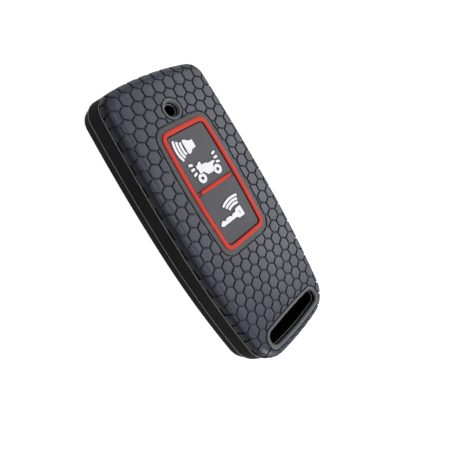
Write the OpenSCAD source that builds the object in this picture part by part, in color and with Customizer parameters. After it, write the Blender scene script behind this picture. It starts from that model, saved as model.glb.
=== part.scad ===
// Soft cover for a two-button smart key of a two-wheeler.
// A moulded silicone sleeve with a honeycomb grip, a lamp hole, a framed pair of
// push buttons and a slot for the key ring. The key goes in through the back window.
// X runs across, Y towards the lamp end, Z out of the front face. The back lies on Z = 0.

/* [Body] */
// Length from the ring end to the lamp end
body_l = 83.6; // [80:0.1:92]
// Width at the widest place
body_w = 36; // [34:0.5:40]
// Thickness from the back to the front face
body_t = 14; // [13:0.5:18]
// How far the widest place lies below the middle of the length
widest_drop = 1; // [0:0.5:6]
// Radius of the long side arcs above the widest place
side_upper_r = 510; // [400:10:900]
// Radius of the long side arcs below the widest place
side_lower_r = 260; // [180:5:350]
// Radius of the arc across the lamp end
lamp_end_r = 87; // [60:1:150]
// Radius of the arc across the ring end
ring_end_r = 85; // [70:5:200]
// Corner radius at the lamp end
lamp_corner_r = 5; // [4:0.1:6]
// Corner radius at the ring end
ring_corner_r = 8.5; // [6:0.5:10]
// How much farther both ends reach at the parting line than at the front
end_lean = 1; // [0:0.1:1.5]
// Radius that rolls the front face into the sides
shoulder_r = 2.7; // [2:0.1:2.8]
// How far down from the front face the grip reaches
grip_drop = 3.2; // [3:0.1:4.5]
// Height of the parting step above the back
parting_z = 4.4; // [2.5:0.1:6]
// How far the wall steps in below the parting line
parting_step = 0.12; // [0:0.02:0.3]
// Draft of the side from the parting line up to the grip
side_draft = 0.3; // [0:0.05:0.4]
// Draft of the side from the parting line down to the back edge
back_draft = 0.25; // [0.15:0.05:0.6]
// Radius of the back edge
back_edge_r = 1; // [0.6:0.1:1.5]

/* [Walls] */
// Thickness of the side wall
side_wall = 1.6; // [1.2:0.1:2]
// Thickness of the front wall under the grooves
front_wall = 1.45; // [1.2:0.05:2]
// Thickness of the lip round the back window
back_lip = 1.4; // [1:0.1:2]
// Radius where the front wall meets the side wall inside
cavity_edge_r = 1.4; // [0.8:0.1:1.6]
// Length of the back window
window_l = 61; // [50:1:64]
// Width of the back window
window_w = 26; // [20:0.5:28]
// How far the back window's middle lies above the middle of the length
window_rise = 3.5; // [2:0.5:4]
// Corner radius of the back window
window_corner_r = 5; // [3:0.5:8]

/* [Honeycomb grip] */
// Distance from one cell to the next
cell_pitch = 3.4; // [3:0.1:5]
// Width of the groove between cells
groove_w = 0.45; // [0.3:0.05:0.7]
// Depth of the grooves
groove_depth = 0.35; // [0.25:0.05:0.45]
// How much wider a cell is at its root than at its top, on each side
cell_flare = 0.06; // [0.02:0.02:0.1]
// Height of the row of cells nearest the middle of the length
cell_row_y = 0.9; // [-1.5:0.1:1.5]

/* [Button panel] */
// Width of the plain panel that shows round the red frame
panel_margin = 1.4; // [1:0.1:2]
// Radius of the panel's bowed sides
panel_side_r = 180; // [150:10:400]
// Corner radius of the panel
panel_corner_r = 3.4; // [2.5:0.1:4.5]
// How far the panel's middle lies above the middle of the length
panel_rise = 8.6; // [7:0.1:9]
// Width of the groove round the panel, the collar and the ring slot
border_groove_w = 0.4; // [0.25:0.05:0.6]

/* [Red frame] */
// Length of the frame
frame_l = 34; // [33:0.1:34.8]
// Width of the frame
frame_w = 16.4; // [15.8:0.1:17]
// Radius of the frame's bowed sides
frame_side_r = 240; // [200:10:600]
// Corner radius of the frame's outside
frame_corner_r = 2.4; // [1.8:0.1:3]
// Width of the frame's band
frame_band = 1.25; // [0.9:0.05:1.6]
// How far the frame stands proud of the panel
frame_proud = 0.35; // [0.2:0.05:0.6]
// Depth of the channel that holds the frame
frame_channel = 0.4; // [0.2:0.05:0.6]
// Radius on the frame's upper edges
frame_edge_r = 0.25; // [0.1:0.05:0.3]

/* [Divider] */
// Length of the bar between the buttons
divider_l = 11.6; // [9:0.1:12]
// Width of the bar
divider_w = 1.15; // [0.8:0.05:1.4]
// How far the bar lies below the panel's middle
divider_drop = 0.25; // [-1:0.05:1]
// Width of the web of front wall that carries the bar
bridge_w = 1.8; // [1.6:0.1:2.6]
// Corner radius of the bar
divider_corner_r = 0.25; // [0.1:0.05:0.35]

/* [Buttons] */
// Slit round each button pad
button_gap = 0.25; // [0.2:0.05:0.4]
// Thickness of a button pad
button_t = 1.5; // [1.2:0.1:1.8]
// How far a pad's top lies below the panel
button_sink = 0.1; // [0:0.05:0.3]
// Corner radius of a pad beside the bridge
button_corner_r = 0.4; // [0.2:0.05:0.8]
/* [Lamp hole] */
// Diameter of the lamp hole
lamp_d = 2.8; // [2:0.1:3.4]
// Diameter of the dished mouth
lamp_mouth_d = 4.6; // [4:0.1:5]
// Depth of the dished mouth
lamp_mouth_depth = 0.7; // [0.4:0.05:0.9]
// Outer diameter of the collar
collar_d = 6.2; // [5.4:0.1:7]
// How far the collar stands proud of the panel
collar_proud = 0.1; // [0:0.05:0.3]
// Distance from the lamp hole's centre to the panel's upper edge
lamp_offset = 3; // [2.6:0.05:3.2]

/* [Ring slot] */
// Length of the slot across the cover
slot_l = 21.2; // [17:0.1:22]
// Width of the slot
slot_w = 4.8; // [4.6:0.1:5]
// Wall between the slot and the ring end
slot_to_end = 5; // [4.6:0.1:5.6]
// Corner radius of the slot
slot_corner_r = 1.9; // [1:0.1:2.1]
// Rim beside the slot's ends
rim_side_w = 1.5; // [1:0.1:2]
// Rim above the slot
rim_upper_w = 0.8; // [0.5:0.1:1.2]
// Rim between the slot and the ring end
rim_end_w = 1.7; // [1.2:0.1:2]
// How far the rim's crest stands proud of the front face
rim_proud = 0.3; // [0.1:0.05:0.5]
// Length of the matching slot through the back
back_slot_l = 17; // [12:0.5:18]

/* [Symbols] */
// Clear margin between the symbols and the ends of their pad
symbol_margin = 0.35; // [0.2:0.05:1]
// How far the raised symbols stand proud of the pads
symbol_proud = 0.25; // [0.15:0.05:0.4]
// Number of waves in each set of arcs
wave_count = 3; // [2:1:3]

/* [Hidden] */

$fn = 48;
overrun = 1;
shoulder_steps = 4;
edge_steps = 2;
bead_steps = 6;
// Segments along each arc of a half outline, from the ring end to the lamp end
body_segments = [4, 6, 4, 4, 4, 4];
trim_segments = [2, 4, 3, 3, 4, 2];
// The straight sides of a plan are arcs that are this many times its size
flat_arc_share = 20;

// Levels, from the back up
band_top_z = body_t - grip_drop;
groove_z = body_t - groove_depth;
ceiling_z = groove_z - front_wall;
channel_z = body_t - frame_channel;
button_top_z = body_t - button_sink;
button_base_z = button_top_z - button_t;
rim_base_z = ceiling_z + front_wall / 3;

// Places along Y
panel_l = frame_l + 2 * panel_margin;
panel_w = frame_w + 2 * panel_margin;
panel_top_y = panel_rise + panel_l / 2;
lamp_y = panel_top_y + lamp_offset;
divider_y = panel_rise - divider_drop;
slot_end_y = slot_to_end - body_l / 2;
slot_top_y = slot_end_y + slot_w;

// A plan is an oval-sided outline made of six tangent arcs on each half:
// [half width, lower end, upper end, widest place, then the radii of
//  lower end, lower corner, lower side, upper side, upper corner, upper end]
// Both ends of the body lean in from the parting line up to the grip
function body_plan(z) =
    let (
        lean_share = min(1, max(0, (z - parting_z) / (band_top_z - parting_z))),
        end_y = body_l / 2 - end_lean * lean_share
    )
    [
        body_w / 2, -end_y, end_y, -widest_drop,
        ring_end_r, ring_corner_r, side_lower_r, side_upper_r, lamp_corner_r, lamp_end_r
    ];
function barrel_plan(w, l, y, side_r, corner_r) =
    let (end_r = w * flat_arc_share)
    [w / 2, y - l / 2, y + l / 2, y, end_r, corner_r, side_r, side_r, corner_r, end_r];
window_plan = barrel_plan(
    window_w, window_l, window_rise, window_l * flat_arc_share, window_corner_r
);
panel_plan = barrel_plan(panel_w, panel_l, panel_rise, panel_side_r, panel_corner_r);
frame_plan = barrel_plan(frame_w, frame_l, panel_rise, frame_side_r, frame_corner_r);
function slot_outline(half_l, low_y, high_y, corner_r) = [
    half_l, low_y, high_y, (low_y + high_y) / 2,
    ring_end_r, corner_r, ring_end_r, ring_end_r, corner_r, half_l * flat_arc_share
];
slot_plan = slot_outline(slot_l / 2, slot_end_y, slot_top_y, slot_corner_r);
back_slot_plan = slot_outline(back_slot_l / 2, slot_end_y, slot_top_y, slot_corner_r);
rim_plan = slot_outline(
    slot_l / 2 + rim_side_w, slot_end_y - rim_end_w, slot_top_y + rim_upper_w,
    slot_corner_r + rim_upper_w
);

// Where two circles meet, on the side of larger X
function circles_meet(a, ra, b, rb) =
    let (
        d = norm(b - a),
        u = (b - a) / d,
        s = (d * d + ra * ra - rb * rb) / (2 * d),
        h = sqrt(max(0, ra * ra - s * s)),
        p = a + u * s,
        q = [u.y, -u.x] * h
    )
    (p + q).x > (p - q).x ? p + q : p - q;

function bearing(a, b) = atan2(b.y - a.y, b.x - a.x);

// The six arcs of the right half: [centre, radius, first angle, last angle]
function plan_arcs(p) =
    let (
        half_w = p[0],
        low_c = [0, p[1] + p[4]],
        lower_side_c = [half_w - p[6], p[3]],
        upper_side_c = [half_w - p[7], p[3]],
        high_c = [0, p[2] - p[9]],
        low_corner_c = circles_meet(low_c, p[4] - p[5], lower_side_c, p[6] - p[5]),
        high_corner_c = circles_meet(high_c, p[9] - p[8], upper_side_c, p[7] - p[8]),
        a1 = bearing(low_c, low_corner_c),
        a2 = bearing(lower_side_c, low_corner_c),
        a3 = bearing(upper_side_c, high_corner_c),
        a4 = bearing(high_c, high_corner_c)
    )
    [
        [low_c, p[4], -90, a1],
        [low_corner_c, p[5], a1, a2],
        [lower_side_c, p[6], a2, 0],
        [upper_side_c, p[7], 0, a3],
        [high_corner_c, p[8], a3, a4],
        [high_c, p[9], a4, 90]
    ];

// The outline's points, counter-clockwise, moved inwards by inset
function outline(p, inset = 0, segments = trim_segments) =
    let (
        arcs = plan_arcs(p),
        right = [
            for (k = [0:len(arcs) - 1], i = [0:segments[k] - 1])
                let (arc = arcs[k], a = arc[2] + (arc[3] - arc[2]) * i / segments[k])
                arc[0] + (arc[1] - inset) * [cos(a), sin(a)]
        ],
        top = [0, p[2] - inset],
        left = [for (i = [len(right) - 1:-1:1]) [-right[i].x, right[i].y]]
    )
    concat(right, [top], left);

function at_height(points, z) = [for (q = points) [q.x, q.y, z]];
function body_ring(inset, z) = at_height(outline(body_plan(z), inset, body_segments), z);
function between(a, b, t) = a * (1 - t) + b * t;

// The rings that roll the front face into the side, at a given depth under the skin
function shoulder_rings(depth) =
    let (r = shoulder_r - depth)
    [
        for (k = [0:shoulder_steps])
            let (a = 90 * k / shoulder_steps)
            body_ring(side_draft + depth + r * (1 - cos(a)), body_t - depth - r * (1 - sin(a)))
    ];

// The triangles between neighbouring rings of n points
function ring_walls(n, first, last) = [
    for (j = [first:last - 1], i = [0:n - 1])
        let (k = (i + 1) % n, low = j * n, high = low + n)
        each [[low + i, high + i, high + k], [low + i, high + k, low + k]]
];

// A solid that runs through a list of rings, closed by its first and last ring
module ring_loft(rings) {
    n = len(rings[0]);
    last = len(rings) - 1;
    polyhedron(
        points = [for (r = rings) each r],
        faces = concat(
            [[for (i = [0:n - 1]) i]],
            ring_walls(n, 0, last),
            [[for (i = [n - 1:-1:0]) last * n + i]]
        )
    );
}

// A closed loop of rings: the last one joins the first
module ring_loop(rings) {
    n = len(rings[0]);
    closed = concat(rings, [rings[0]]);
    count = len(rings);
    polyhedron(
        points = [for (r = rings) each r],
        faces = [
            for (f = ring_walls(n, 0, count))
                [for (i = f) i % (n * count)]
        ]
    );
}

module plan_prism(plan, inset, low_z, high_z) {
    translate([0, 0, low_z])
        linear_extrude(high_z - low_z)
            polygon(outline(plan, inset));
}

// The hollow shell, run in one loop of rings: down the cavity's wall, round the
// lip of the back window, up the outside and over the shoulder to the front face
module shell() {
    cavity_inset = side_draft + side_wall;
    cavity_rings = [
        for (k = [edge_steps:-1:0])
            let (a = 90 * k / edge_steps)
            body_ring(
                cavity_inset + cavity_edge_r * (1 - cos(a)),
                ceiling_z - cavity_edge_r * (1 - sin(a))
            )
    ];
    window_ring = outline(window_plan, 0, body_segments);
    back_edge_rings = [
        for (k = [0:edge_steps + 1])
            let (a = 90 * k / (edge_steps + 1))
            body_ring(
                back_draft + back_edge_r * (1 - sin(a)),
                back_edge_r * (1 - cos(a))
            )
    ];
    ring_loft(concat(
        cavity_rings,
        [body_ring(cavity_inset, parting_z), body_ring(cavity_inset, back_lip)],
        [at_height(window_ring, back_lip), at_height(window_ring, 0)],
        back_edge_rings,
        [
            body_ring(parting_step, parting_z),
            body_ring(0, parting_z + parting_step),
            body_ring(side_draft, band_top_z),
            body_ring(side_draft + groove_depth, band_top_z)
        ],
        shoulder_rings(groove_depth)
    ));
}

// The soft bead round the ring slot, lower on its outer side
module slot_bead() {
    outer = outline(rim_plan);
    inner = outline(slot_plan, groove_w);
    height = body_t + rim_proud - rim_base_z;
    rise_share = 0.7;
    ring_loop(concat(
        [at_height(inner, rim_base_z), at_height(outer, rim_base_z)],
        [
            for (k = [0:bead_steps])
                let (a = 180 * k / bead_steps, t = (1 - cos(a)) / 2)
                at_height(
                    between(outer, inner, t),
                    rim_base_z + height * (rise_share + (1 - rise_share) * sin(a))
                )
        ]
    ));
}

// The area under the pads, one side of the bridge: sign is 1 above it and -1 below it
module button_area(sign, gap) {
    corner = min(button_corner_r, frame_corner_r - frame_band);
    near = divider_y + sign * (bridge_w / 2 + gap);
    far = panel_rise + sign * frame_l;
    intersection() {
        polygon(outline(frame_plan, frame_band + gap));
        translate([0, (near + far) / 2])
            offset(r = corner)
                square([frame_w - 2 * corner, abs(far - near) - 2 * corner], center = true);
    }
}

module button_window(sign) {
    translate([0, 0, ceiling_z - overrun])
        linear_extrude(front_wall + groove_depth + 2 * overrun)
            button_area(sign, 0);
}

module sleeve() {
    color([0.17, 0.17, 0.19])
    difference() {
        union() {
            shell();
            plan_prism(panel_plan, 0, groove_z - front_wall / 2, body_t);
            translate([0, lamp_y, groove_z - front_wall / 2])
                cylinder(d = collar_d, h = front_wall / 2 + groove_depth + collar_proud);
            slot_bead();
        }
        button_window(1);
        button_window(-1);
        // Channel of the red frame
        translate([0, 0, channel_z])
            linear_extrude(frame_channel + overrun)
                difference() {
                    polygon(outline(frame_plan));
                    polygon(outline(frame_plan, frame_band));
                }
        // Lamp hole with its dished mouth
        translate([0, lamp_y, ceiling_z - overrun])
            cylinder(d = lamp_d, h = body_t);
        translate([0, lamp_y, body_t + collar_proud - lamp_mouth_depth])
            cylinder(d1 = lamp_d, d2 = lamp_mouth_d, h = lamp_mouth_depth);
        // Ring slot through the front wall and its match through the back
        plan_prism(slot_plan, 0, ceiling_z - overrun, body_t + rim_proud + overrun);
        plan_prism(back_slot_plan, 0, -overrun, back_lip + overrun);
    }
}

// One raised cell: a six-sided pad that widens a little towards its root
module grip_cell() {
    top_r = (cell_pitch - groove_w) / sqrt(3);
    root_r = top_r + cell_flare * 2 / sqrt(3);
    rotate(30)
        hull() {
            linear_extrude(groove_depth)
                circle(r = root_r, $fn = 6);
            linear_extrude(grip_drop + groove_depth)
                circle(r = top_r, $fn = 6);
        }
}

// Whether a point lies inside a convex outline that runs counter-clockwise
function is_inside(points, q) =
    let (n = len(points))
    min([for (i = [0:n - 1]) cross(points[(i + 1) % n] - points[i], q - points[i])]) > 0;

// Places where cells lie, row by row. A cell is left out where its middle lies far past
// the body's outline, or under the panel or the rim, because only a sliver would show
cell_reach = cell_pitch * 0.28;
function cell_places() =
    let (
        row_h = cell_pitch * sqrt(3) / 2,
        rows = ceil(body_l / row_h / 2) + 1,
        columns = ceil(body_w / cell_pitch / 2) + 1,
        field = outline(body_plan(body_t), side_draft - cell_reach, body_segments),
        panel = outline(panel_plan, cell_reach),
        rim = outline(rim_plan, cell_reach)
    )
    [
        for (r = [-rows:rows], c = [-columns:columns])
            let (q = [(c + (r % 2 == 0 ? 0 : 0.5)) * cell_pitch, cell_row_y + r * row_h])
            if (is_inside(field, q) && !is_inside(panel, q) && !is_inside(rim, q)) q
    ];

// The thin skin in which the cells stand: between the groove floor and the outside
module grip_skin() {
    difference() {
        ring_loft(concat([body_ring(side_draft, band_top_z)], shoulder_rings(0)));
        ring_loft(concat(
            [body_ring(side_draft + groove_depth, band_top_z - overrun)],
            shoulder_rings(groove_depth)
        ));
    }
}

module hex_grip() {
    keep_out_h = grip_drop + 2 * overrun;
    color([0.2, 0.21, 0.24])
    difference() {
        intersection() {
            grip_skin();
            for (place = cell_places())
                translate([place.x, place.y, band_top_z - groove_depth])
                    grip_cell();
        }
        plan_prism(panel_plan, -border_groove_w, band_top_z - overrun, body_t + overrun);
        plan_prism(rim_plan, -border_groove_w, band_top_z - overrun, body_t + overrun);
        translate([0, lamp_y, band_top_z - overrun])
            cylinder(d = collar_d + 2 * border_groove_w, h = keep_out_h);
    }
}

module red_frame() {
    top_z = body_t + frame_proud;
    color([0.88, 0.22, 0.16])
    ring_loop([
        at_height(outline(frame_plan, frame_band), channel_z),
        at_height(outline(frame_plan), channel_z),
        at_height(outline(frame_plan), top_z - frame_edge_r),
        at_height(outline(frame_plan, frame_edge_r), top_z),
        at_height(outline(frame_plan, frame_band - frame_edge_r), top_z),
        at_height(outline(frame_plan, frame_band), top_z - frame_edge_r)
    ]);
}

module divider_bar() {
    color([0.88, 0.22, 0.16])
    translate([0, divider_y, body_t])
        linear_extrude(frame_proud)
            offset(r = divider_corner_r)
                square(
                    [divider_l - 2 * divider_corner_r, divider_w - 2 * divider_corner_r],
                    center = true
                );
}

module button_pad(sign) {
    color([0.33, 0.33, 0.36])
    translate([0, 0, button_base_z])
        linear_extrude(button_t)
            button_area(sign, button_gap);
}

module upper_button() {
    button_pad(1);
}

module lower_button() {
    button_pad(-1);
}

// A raised white inlay on the button pads
module inlay() {
    color([0.93, 0.93, 0.96])
    translate([0, 0, button_top_z])
        linear_extrude(symbol_proud)
            children();
}

module stroke(from, to, w) {
    hull() {
        translate(from)
            circle(d = w, $fn = 20);
        translate(to)
            circle(d = w, $fn = 20);
    }
}

// Arcs that spread one way from a focus, each a little wider than the one before
module waves(focus, direction, first_r, pitch) {
    spread = 17.5;
    spread_step = 2;
    steps = 6;
    stroke_w = pitch * wave_stroke_share;
    translate(focus)
        for (k = [0:wave_count - 1], i = [0:steps - 1]) {
            r = first_r + k * pitch;
            reach = spread + k * spread_step;
            a = direction + reach * (2 * i / steps - 1);
            b = direction + reach * (2 * (i + 1) / steps - 1);
            stroke([cos(a), sin(a)] * r, [cos(b), sin(b)] * r, stroke_w);
        }
}

// An outline with its corners rounded both ways
module soft_outline(points, corner) {
    offset(r = corner, $fn = 16)
        offset(delta = -corner)
            polygon(points);
}

// The symbols keep their proportions and fill the field of their pad, which follows
// the pad's length or its width, whichever is the tighter
pad_w = frame_w - 2 * frame_band;
upper_pad_far_y = panel_rise + frame_l / 2 - frame_band;
upper_pad_near_y = divider_y + bridge_w / 2;
lower_pad_near_y = divider_y - bridge_w / 2;
lower_pad_far_y = panel_rise - frame_l / 2 + frame_band;
field_aspect_share = 1.1;
function field_size(pad_l) = min(pad_l, pad_w * field_aspect_share) - 2 * symbol_margin;
upper_field = field_size(upper_pad_far_y - upper_pad_near_y);
lower_field = field_size(lower_pad_near_y - lower_pad_far_y);
upper_mid = [0, (upper_pad_near_y + upper_pad_far_y) / 2];
lower_mid = [0, (lower_pad_near_y + lower_pad_far_y) / 2];
wave_pitch_share = 0.069;
wave_stroke_share = 0.85;

// Cone and magnet of the horn, as shares of its height
horn_h = upper_field * 0.27;
horn_place = upper_mid + [-0.083, 0.233] * upper_field;
horn_corner_share = 0.06;
horn_outline_shares = [
    [-0.4, 0.5], [-0.2, 0.5], [0.09, 0.29], [0.4, 0.28],
    [0.4, -0.28], [0.09, -0.29], [-0.2, -0.5], [-0.4, -0.5]
];

module speaker_horn() {
    inlay()
        translate(horn_place)
            soft_outline(horn_outline_shares * horn_h, horn_corner_share * horn_h);
}

module sound_waves() {
    focus_share = 0.18;
    first_share = 0.351;
    inlay()
        waves(
            horn_place + [focus_share * upper_field, 0], 180,
            first_share * upper_field, wave_pitch_share * upper_field
        );
}

// Handlebar, tank, seat, tail, engine and fork, as shares of the wheelbase from the
// point between the axles
wheelbase = upper_field * 0.396;
bike_mid = upper_mid - [0, upper_field * 0.378];
wheel_d = wheelbase * 0.465;
axle_hole_d = wheelbase * 0.16;
bike_corner_share = 0.03;
bike_outline_shares = [
    [-0.52, 0.6], [-0.38, 0.62], [-0.34, 0.69], [-0.25, 0.72], [-0.17, 0.67], [-0.2, 0.55],
    [0.04, 0.54], [0.2, 0.46], [0.55, 0.45], [0.57, 0.36], [0.41, 0.32], [0.34, 0.18],
    [0.31, 0.01], [-0.1, 0.02], [-0.3, 0.25], [-0.38, 0.17], [-0.52, 0.17], [-0.47, 0.38],
    [-0.52, 0.48]
];

module motorcycle() {
    inlay()
        translate(bike_mid) {
            for (side = [-1, 1])
                translate([side * wheelbase / 2, 0])
                    difference() {
                        circle(d = wheel_d);
                        circle(d = axle_hole_d);
                    }
            soft_outline(bike_outline_shares * wheelbase, bike_corner_share * wheelbase);
        }
}

// Three short marks in a fan beside each end of the motorcycle
module flash_marks(side) {
    reach_share = 0.73;
    height_share = 0.52;
    step_share = 0.225;
    half_length_share = 0.065;
    width_share = 0.12;
    tilt = 14;
    tip = [half_length_share * wheelbase, 0];
    inlay()
        translate(bike_mid + [side * reach_share, height_share] * wheelbase)
            for (k = [-1:1])
                translate([0, k * step_share * wheelbase])
                    rotate(side * k * tilt)
                        stroke(-tip, tip, width_share * wheelbase);
}

module front_flash_marks() {
    flash_marks(-1);
}

module rear_flash_marks() {
    flash_marks(1);
}

// The key lies with its blade to the left: shares of its length
key_l = lower_field * 0.626;
key_place = lower_mid - [0, lower_field * 0.107];
key_corner_share = 0.018;
key_slot_shares = [[0.23, 0.025], [0.23, -0.03]];
key_slot_w_share = 0.028;
key_outline_shares = [
    [-0.64, -0.015], [-0.575, -0.08], [0.046, -0.08], [0.115, -0.15], [0.362, -0.155],
    [0.362, 0.145], [0.328, 0.172], [0.132, 0.167], [0.07, 0.085], [-0.057, 0.08],
    [-0.126, 0.034], [-0.195, 0.08], [-0.333, 0.08], [-0.408, 0.034], [-0.517, 0.092]
];

module key_symbol() {
    inlay()
        translate(key_place)
            difference() {
                soft_outline(key_outline_shares * key_l, key_corner_share * key_l);
                stroke(
                    key_slot_shares[0] * key_l, key_slot_shares[1] * key_l,
                    key_slot_w_share * key_l
                );
            }
}

module signal_waves() {
    focus_shares = [0.13, -0.334];
    first_share = 0.416;
    direction = 97;
    inlay()
        waves(
            lower_mid + focus_shares * lower_field, direction,
            first_share * lower_field, wave_pitch_share * lower_field
        );
}

sleeve();
hex_grip();
red_frame();
divider_bar();
upper_button();
speaker_horn();
sound_waves();
motorcycle();
front_flash_marks();
rear_flash_marks();
lower_button();
key_symbol();
signal_waves();
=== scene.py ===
"""Soft silicone cover for a two-button smart key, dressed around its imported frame.

Sizes are in millimetres and turn into metres when a piece is made. What the studio keeps
in metres says so. X runs across the cover, Y towards the lamp end and Z out of the front
face, as in the frame.
"""

from __future__ import annotations

import logging
import math
from dataclasses import dataclass, field
from enum import Enum
from typing import Callable, Mapping, Sequence

import bpy
import numpy as np
from mathutils import Matrix, Vector
from mathutils.geometry import delaunay_2d_cdt

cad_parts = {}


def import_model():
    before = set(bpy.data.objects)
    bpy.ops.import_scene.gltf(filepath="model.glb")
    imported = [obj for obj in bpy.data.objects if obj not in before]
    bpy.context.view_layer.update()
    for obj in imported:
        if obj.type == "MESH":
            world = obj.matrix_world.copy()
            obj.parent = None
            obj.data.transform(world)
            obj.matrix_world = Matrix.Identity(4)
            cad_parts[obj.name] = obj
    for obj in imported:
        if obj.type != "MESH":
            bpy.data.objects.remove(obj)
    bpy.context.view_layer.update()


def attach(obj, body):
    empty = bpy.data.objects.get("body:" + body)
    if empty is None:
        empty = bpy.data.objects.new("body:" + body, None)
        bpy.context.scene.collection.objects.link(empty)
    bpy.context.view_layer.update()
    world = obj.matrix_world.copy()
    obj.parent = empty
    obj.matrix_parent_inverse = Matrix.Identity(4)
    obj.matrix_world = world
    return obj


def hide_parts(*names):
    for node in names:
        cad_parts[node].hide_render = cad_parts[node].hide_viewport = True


log = logging.getLogger("cover")

Pair = tuple[float, float]
Triple = tuple[float, float, float]

METRES = 0.001

# Guards against a division by zero
TINY = 1e-12
TINIEST = 1e-20

# Levels of the cover, from the back up
PARTING_Z = 4.4
BAND_TOP_Z = 10.8
CEILING_Z = 12.2
FRONT_Z = 14.0
GROOVE_DEPTH = 0.4

# Offsets of the wall from the body's outline
SIDE_DRAFT = 0.3
SHOULDER_R = 2.7
FLAT_INSET = SIDE_DRAFT + SHOULDER_R

# Places along Y
BODY_L = 83.6
PANEL_Y = 8.6
LAMP_Y = 30.0
DIVIDER_Y = 8.35

# Sizes that more than one piece follows
FRAME_W = 16.4
FRAME_SIDE_R = 240.0
FRAME_BAND = 1.25
COLLAR_R = 2.8
LAMP_HOLE_R = 1.95

# Radius of a nearly straight end, in widths
STRAIGHT = 20


class Body(str, Enum):
    """The moving bodies of the frame."""

    SLEEVE = "sleeve_body"
    UPPER = "upper_pad"
    LOWER = "lower_pad"


class Slot(str, Enum):
    """The material slots of the record."""

    SLEEVE = "sleeve_black"
    GRIP = "grip_black"
    BUTTON = "button_black"
    RED = "signal_red"
    WHITE = "symbol_white"


def lifted(flat: np.ndarray, z: float) -> np.ndarray:
    """Gives points in plan a height."""
    return np.column_stack([flat, np.full(len(flat), z)])


def directions(angles: np.ndarray) -> np.ndarray:
    """Unit vectors in plan for angles in radians, one per row."""
    return np.column_stack([np.cos(angles), np.sin(angles)])


def unit(rows: np.ndarray) -> np.ndarray:
    """Scales each row to a length of one."""
    return rows / np.maximum(np.linalg.norm(rows, axis=1, keepdims=True), TINIEST)


def grey(level: float) -> tuple[float, float, float, float]:
    """A grey as a colour of a node."""
    return level, level, level, 1.0


def bearing(a: Sequence[float], b: Sequence[float]) -> float:
    """The direction from a to b, in radians."""
    return math.atan2(b[1] - a[1], b[0] - a[0])


def quarter_turn(steps: int) -> list[Pair]:
    """Samples a quarter of a round edge, from its side to its crest.

    Args:
        steps: Steps along the quarter.

    Returns:
        How far each point lies inwards of the side and below the crest, in radii.
    """
    angles = [math.pi / 2 * k / steps for k in range(steps + 1)]
    return [(1 - math.cos(a), 1 - math.sin(a)) for a in angles]


def circles_meet(a: Pair, ra: float, b: Pair, rb: float) -> Pair:
    """Finds where two circles meet, on the side of larger X.

    Args:
        a: Centre of the first circle.
        ra: Its radius.
        b: Centre of the second circle.
        rb: Its radius.

    Returns:
        The meeting point.
    """
    dx, dy = b[0] - a[0], b[1] - a[1]
    d = math.hypot(dx, dy)
    ux, uy = dx / d, dy / d
    s = (d * d + ra * ra - rb * rb) / (2 * d)
    h = math.sqrt(max(0.0, ra * ra - s * s))
    side = 1 if uy > 0 else -1
    return a[0] + ux * s + side * uy * h, a[1] + uy * s - side * ux * h


@dataclass(frozen=True)
class Outline:
    """A closed line in plan, counter-clockwise, with its outward normals."""

    points: np.ndarray
    normals: np.ndarray

    def at(self, inset: float, z: float) -> np.ndarray:
        """The outline in space, moved inwards and lifted to a height."""
        return lifted(self.points - inset * self.normals, z)

    def towards(self, other: Outline, share: float, z: float) -> np.ndarray:
        """A line in space that lies a share of the way to another outline."""
        return lifted(self.points * (1 - share) + other.points * share, z)


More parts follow.
